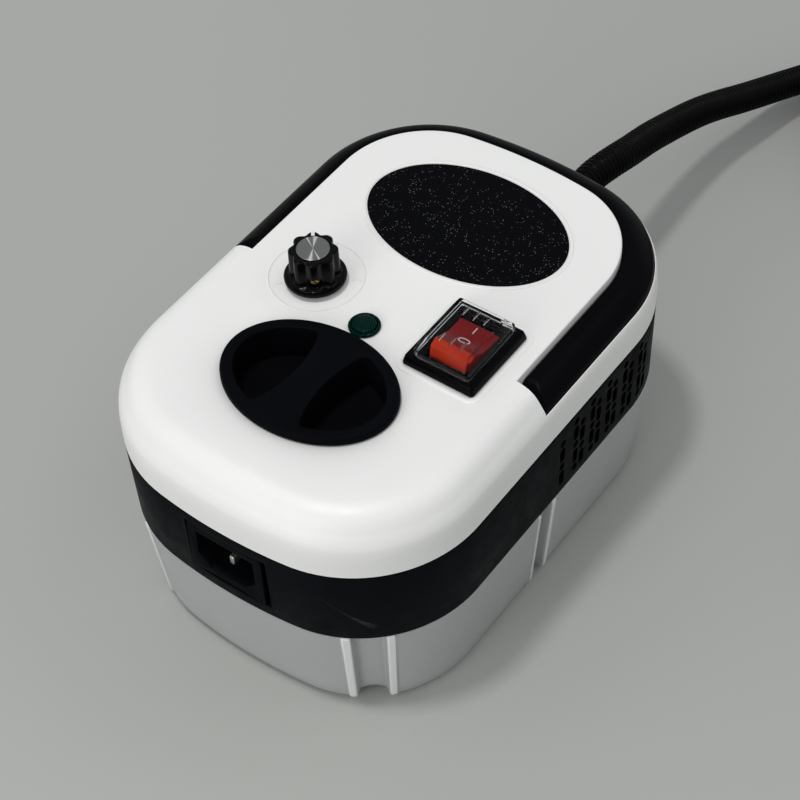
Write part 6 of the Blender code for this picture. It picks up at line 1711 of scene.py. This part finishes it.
NOZZLE_TIP_RADIUS = 0.0022
NOZZLE_LENGTH = 0.022
NOZZLE_BORE_RADIUS = 0.0010
TUBE_WAY_RADIUS = 0.0025 + GAP


def gun_frame():
    """Matrix from the gun's own lengths (forward, left, up) to the object's frame."""
    end, away = gun_start()
    origin = end + away * (GUN_RUN + GAP)
    left = Vector((-away.y, away.x, 0))
    turn = Matrix((away, left, (0, 0, 1))).transposed().to_4x4()
    return Matrix.Translation((origin.x, origin.y, GUN_HALF_THICKNESS + GAP)) @ turn


def gun_outline(inset, z):
    """Plan of the gun's body at an inset, right round."""
    curve = smooth([(share, width) for share, width in GUN_WIDTH_SHARES], 6)
    row = []
    for share, width in curve:
        forward = GUN_RELIEF_LENGTH + GAP + inset + (GUN_LENGTH - 2 * inset) * share
        row.append((forward, GUN_HALF_WIDTH * width - inset))
    return [Vector((x, y, z)) for x, y in row] + [Vector((x, -y, z)) for x, y in reversed(row)]


def gun_half(name, side, node, turn):
    """Half of the gun's split body, hollow, with the trigger slot and the ways at its ends."""
    edge, wall, thick = GUN_EDGE_ROUND, GUN_WALL, GUN_HALF_THICKNESS
    bend = [(edge * (1 - math.cos(a)), thick - edge * (1 - math.sin(a))) for a in quarter_turn(7)]
    inner = [(inset + wall, z - wall if z > wall else z) for inset, z in bend]
    levels = [
        (wall + edge + 3 * EDGE, thick - wall), *reversed(inner), (wall, GAP / 2), (EDGE, GAP / 2),
        (0, GAP / 2 + EDGE / 2), *bend, (edge + 3 * EDGE, thick),
    ]
    shape = close_ends(skin([gun_outline(inset, side * z) for inset, z in levels]))
    half = add_object(name, shape, FINISHES["white"])
    depth = TRIGGER_THICKNESS / 2 + 2 * GAP
    slot = block(
        "trigger_slot", (TRIGGER_START - TRIGGER_CLEARANCE, -GUN_HALF_WIDTH - OVERRUN, -depth),
        (TRIGGER_END, -GUN_HALF_WIDTH / 2, depth),
    )
    ways = [
        rod("end_way", TUBE_WAY_RADIUS, 2 * OVERRUN, (x - OVERRUN, 0, 0), (1, 0, 0), 24)
        for x in (GUN_RELIEF_LENGTH, GUN_BODY_END)
    ]
    carve(half, slot, *ways)
    half.data.transform(turn)
    settle(half, "case", node)


def relief_profile():
    """Strain relief with soft rings along its taper."""
    bore, relief, length = TUBE_WAY_RADIUS, GUN_RELIEF_RADIUS, GUN_RELIEF_LENGTH
    profile = [(bore, length), (relief - EDGE, length), (relief, length - EDGE), (relief, length * 0.82)]
    for i in range(5):
        near, far = length * (0.78 - 0.155 * i), length * (0.68 - 0.155 * i)
        width = relief * (0.98 - 0.028 * i)
        ring_radius = width * 0.975
        profile += [(width * 0.9, near), (width * 0.9, far)]
        profile += [(ring_radius, far - EDGE / 2), (ring_radius, far - length * 0.045)]
    return [*profile, (relief * 0.85 - EDGE, 0), (bore, 0)]


def collar_profile():
    """Nozzle collar with four grooves round it."""
    end, start, radius = COLLAR_END, GUN_BODY_END + GAP, COLLAR_RADIUS
    groove = radius - EDGE
    profile = [(TUBE_WAY_RADIUS, end), (radius * 0.8, end), (radius, end - COLLAR_LENGTH * 0.3)]
    for i in range(4):
        at = end - COLLAR_LENGTH * (0.4 + 0.13 * i)
        profile += [(radius, at), (groove, at - EDGE / 2), (groove, at - EDGE), (radius, at - 1.5 * EDGE)]
    return [*profile, (radius, start + EDGE), (groove, start), (TUBE_WAY_RADIUS, start)]


def nozzle_profile():
    """Brass nozzle with a groove behind its taper."""
    start = COLLAR_END + GAP
    tip, step = start + NOZZLE_LENGTH, NOZZLE_LENGTH * 0.6
    jet, tip_radius, radius = NOZZLE_BORE_RADIUS, NOZZLE_TIP_RADIUS, NOZZLE_RADIUS
    return [
        (jet, tip), (tip_radius - EDGE / 2, tip), (tip_radius, tip - EDGE / 2),
        (tip_radius * 1.06, tip - step * 0.35), (radius * 0.92, tip - step * 0.9), (radius, tip - step),
        (radius, start + 6 * EDGE), (radius - EDGE, start + 5 * EDGE), (radius - EDGE, start + 3 * EDGE),
        (radius, start + 2 * EDGE), (radius, start), (jet, start),
    ]


def make_trigger(turn):
    """Curved trigger that swings on a pin through its root."""
    start, end = TRIGGER_START, TRIGGER_END
    length, side, stand, root = end - start, GUN_HALF_WIDTH, TRIGGER_STAND, TRIGGER_ROOT
    pivot = (end - root, -side * 0.45)
    front = smooth(
        [
            (start + 2 * GAP, -side - stand * 0.55), (start + length * 0.06, -side - stand * 0.9),
            (start + length * 0.2, -side - stand), (start + length * 0.45, -side - stand * 0.75),
            (start + length * 0.75, -side - stand * 0.35), (end - 2 * GAP, -side * 0.86),
        ],
        5,
    )
    outline = [
        Vector((start + 2 * TRIGGER_PIVOT_RADIUS, -side * 0.78)), *front,
        Vector((pivot[0] + root * 0.7, pivot[1] + root * 0.4)),
        Vector((pivot[0] - root * 0.6, pivot[1] + root * 0.9)), Vector((start + length * 0.5, -side * 0.60)),
    ]
    half = TRIGGER_THICKNESS / 2
    trigger = prism("trigger", outline, -half, half, FINISHES["handle"], round_rim=0.0011)
    carve(trigger, rod("pivot_bore", TRIGGER_PIVOT_RADIUS + GAP, 0.03, (*pivot, -0.015), (0, 0, 1), 32))
    trigger.data.transform(turn)
    settle(trigger, "trigger", "gun_trigger")


def make_gun():
    """Steam gun: split white body, strain relief, collar, brass nozzle and trigger."""
    turn = gun_frame()
    gun_half("gun_shell_upper", 1, "gun_body_upper", turn)
    gun_half("gun_shell_lower", -1, "gun_body_lower", turn)
    for name, profile, finish_name, node in (
        ("gun_relief", relief_profile(), "rubber", "gun_strain_relief"),
        ("gun_collar", collar_profile(), "knob", "gun_nozzle_collar"),
        ("gun_jet", nozzle_profile(), "brass", "gun_nozzle"),
    ):
        piece = turned(name, [*profile, profile[0]], (0, 0, 0), (1, 0, 0), FINISHES[finish_name], 40)
        piece.data.transform(turn)
        settle(piece, "case", node)
    make_trigger(turn)


make_gun()


# Finishes of the frame's own nodes

NODE_FINISHES = {
    "aluminium": ["boiler_block"],
    "steel": [
        "handle_pivot_pin_left", "handle_pivot_pin_right", "knob_shaft", "potentiometer", "pump_coil",
        "heater_element", "thermostat", *CASE_SCREWS, "gun_trigger_pin", "gun_trigger_spring",
    ],
    "brass": ["pump_barrel", "relief_valve", "steam_pipe", "gun_valve"],
    "rubber": ["base_strip_front", "base_strip_rear", "cap_gasket", "pump_cradle"],
    "silicone": ["tank_seal", "suction_tube", "feed_tube"],
    "band": ["lamp_body", "suction_strainer", "gland_nut"],
    "board": ["control_board"],
    "wire": ["live_lead", "heater_lead"],
}


def dress_nodes():
    for finish_name, names in NODE_FINISHES.items():
        for name in names:
            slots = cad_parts[name].data.materials
            slots.clear()
            slots.append(FINISHES[finish_name])


dress_nodes()
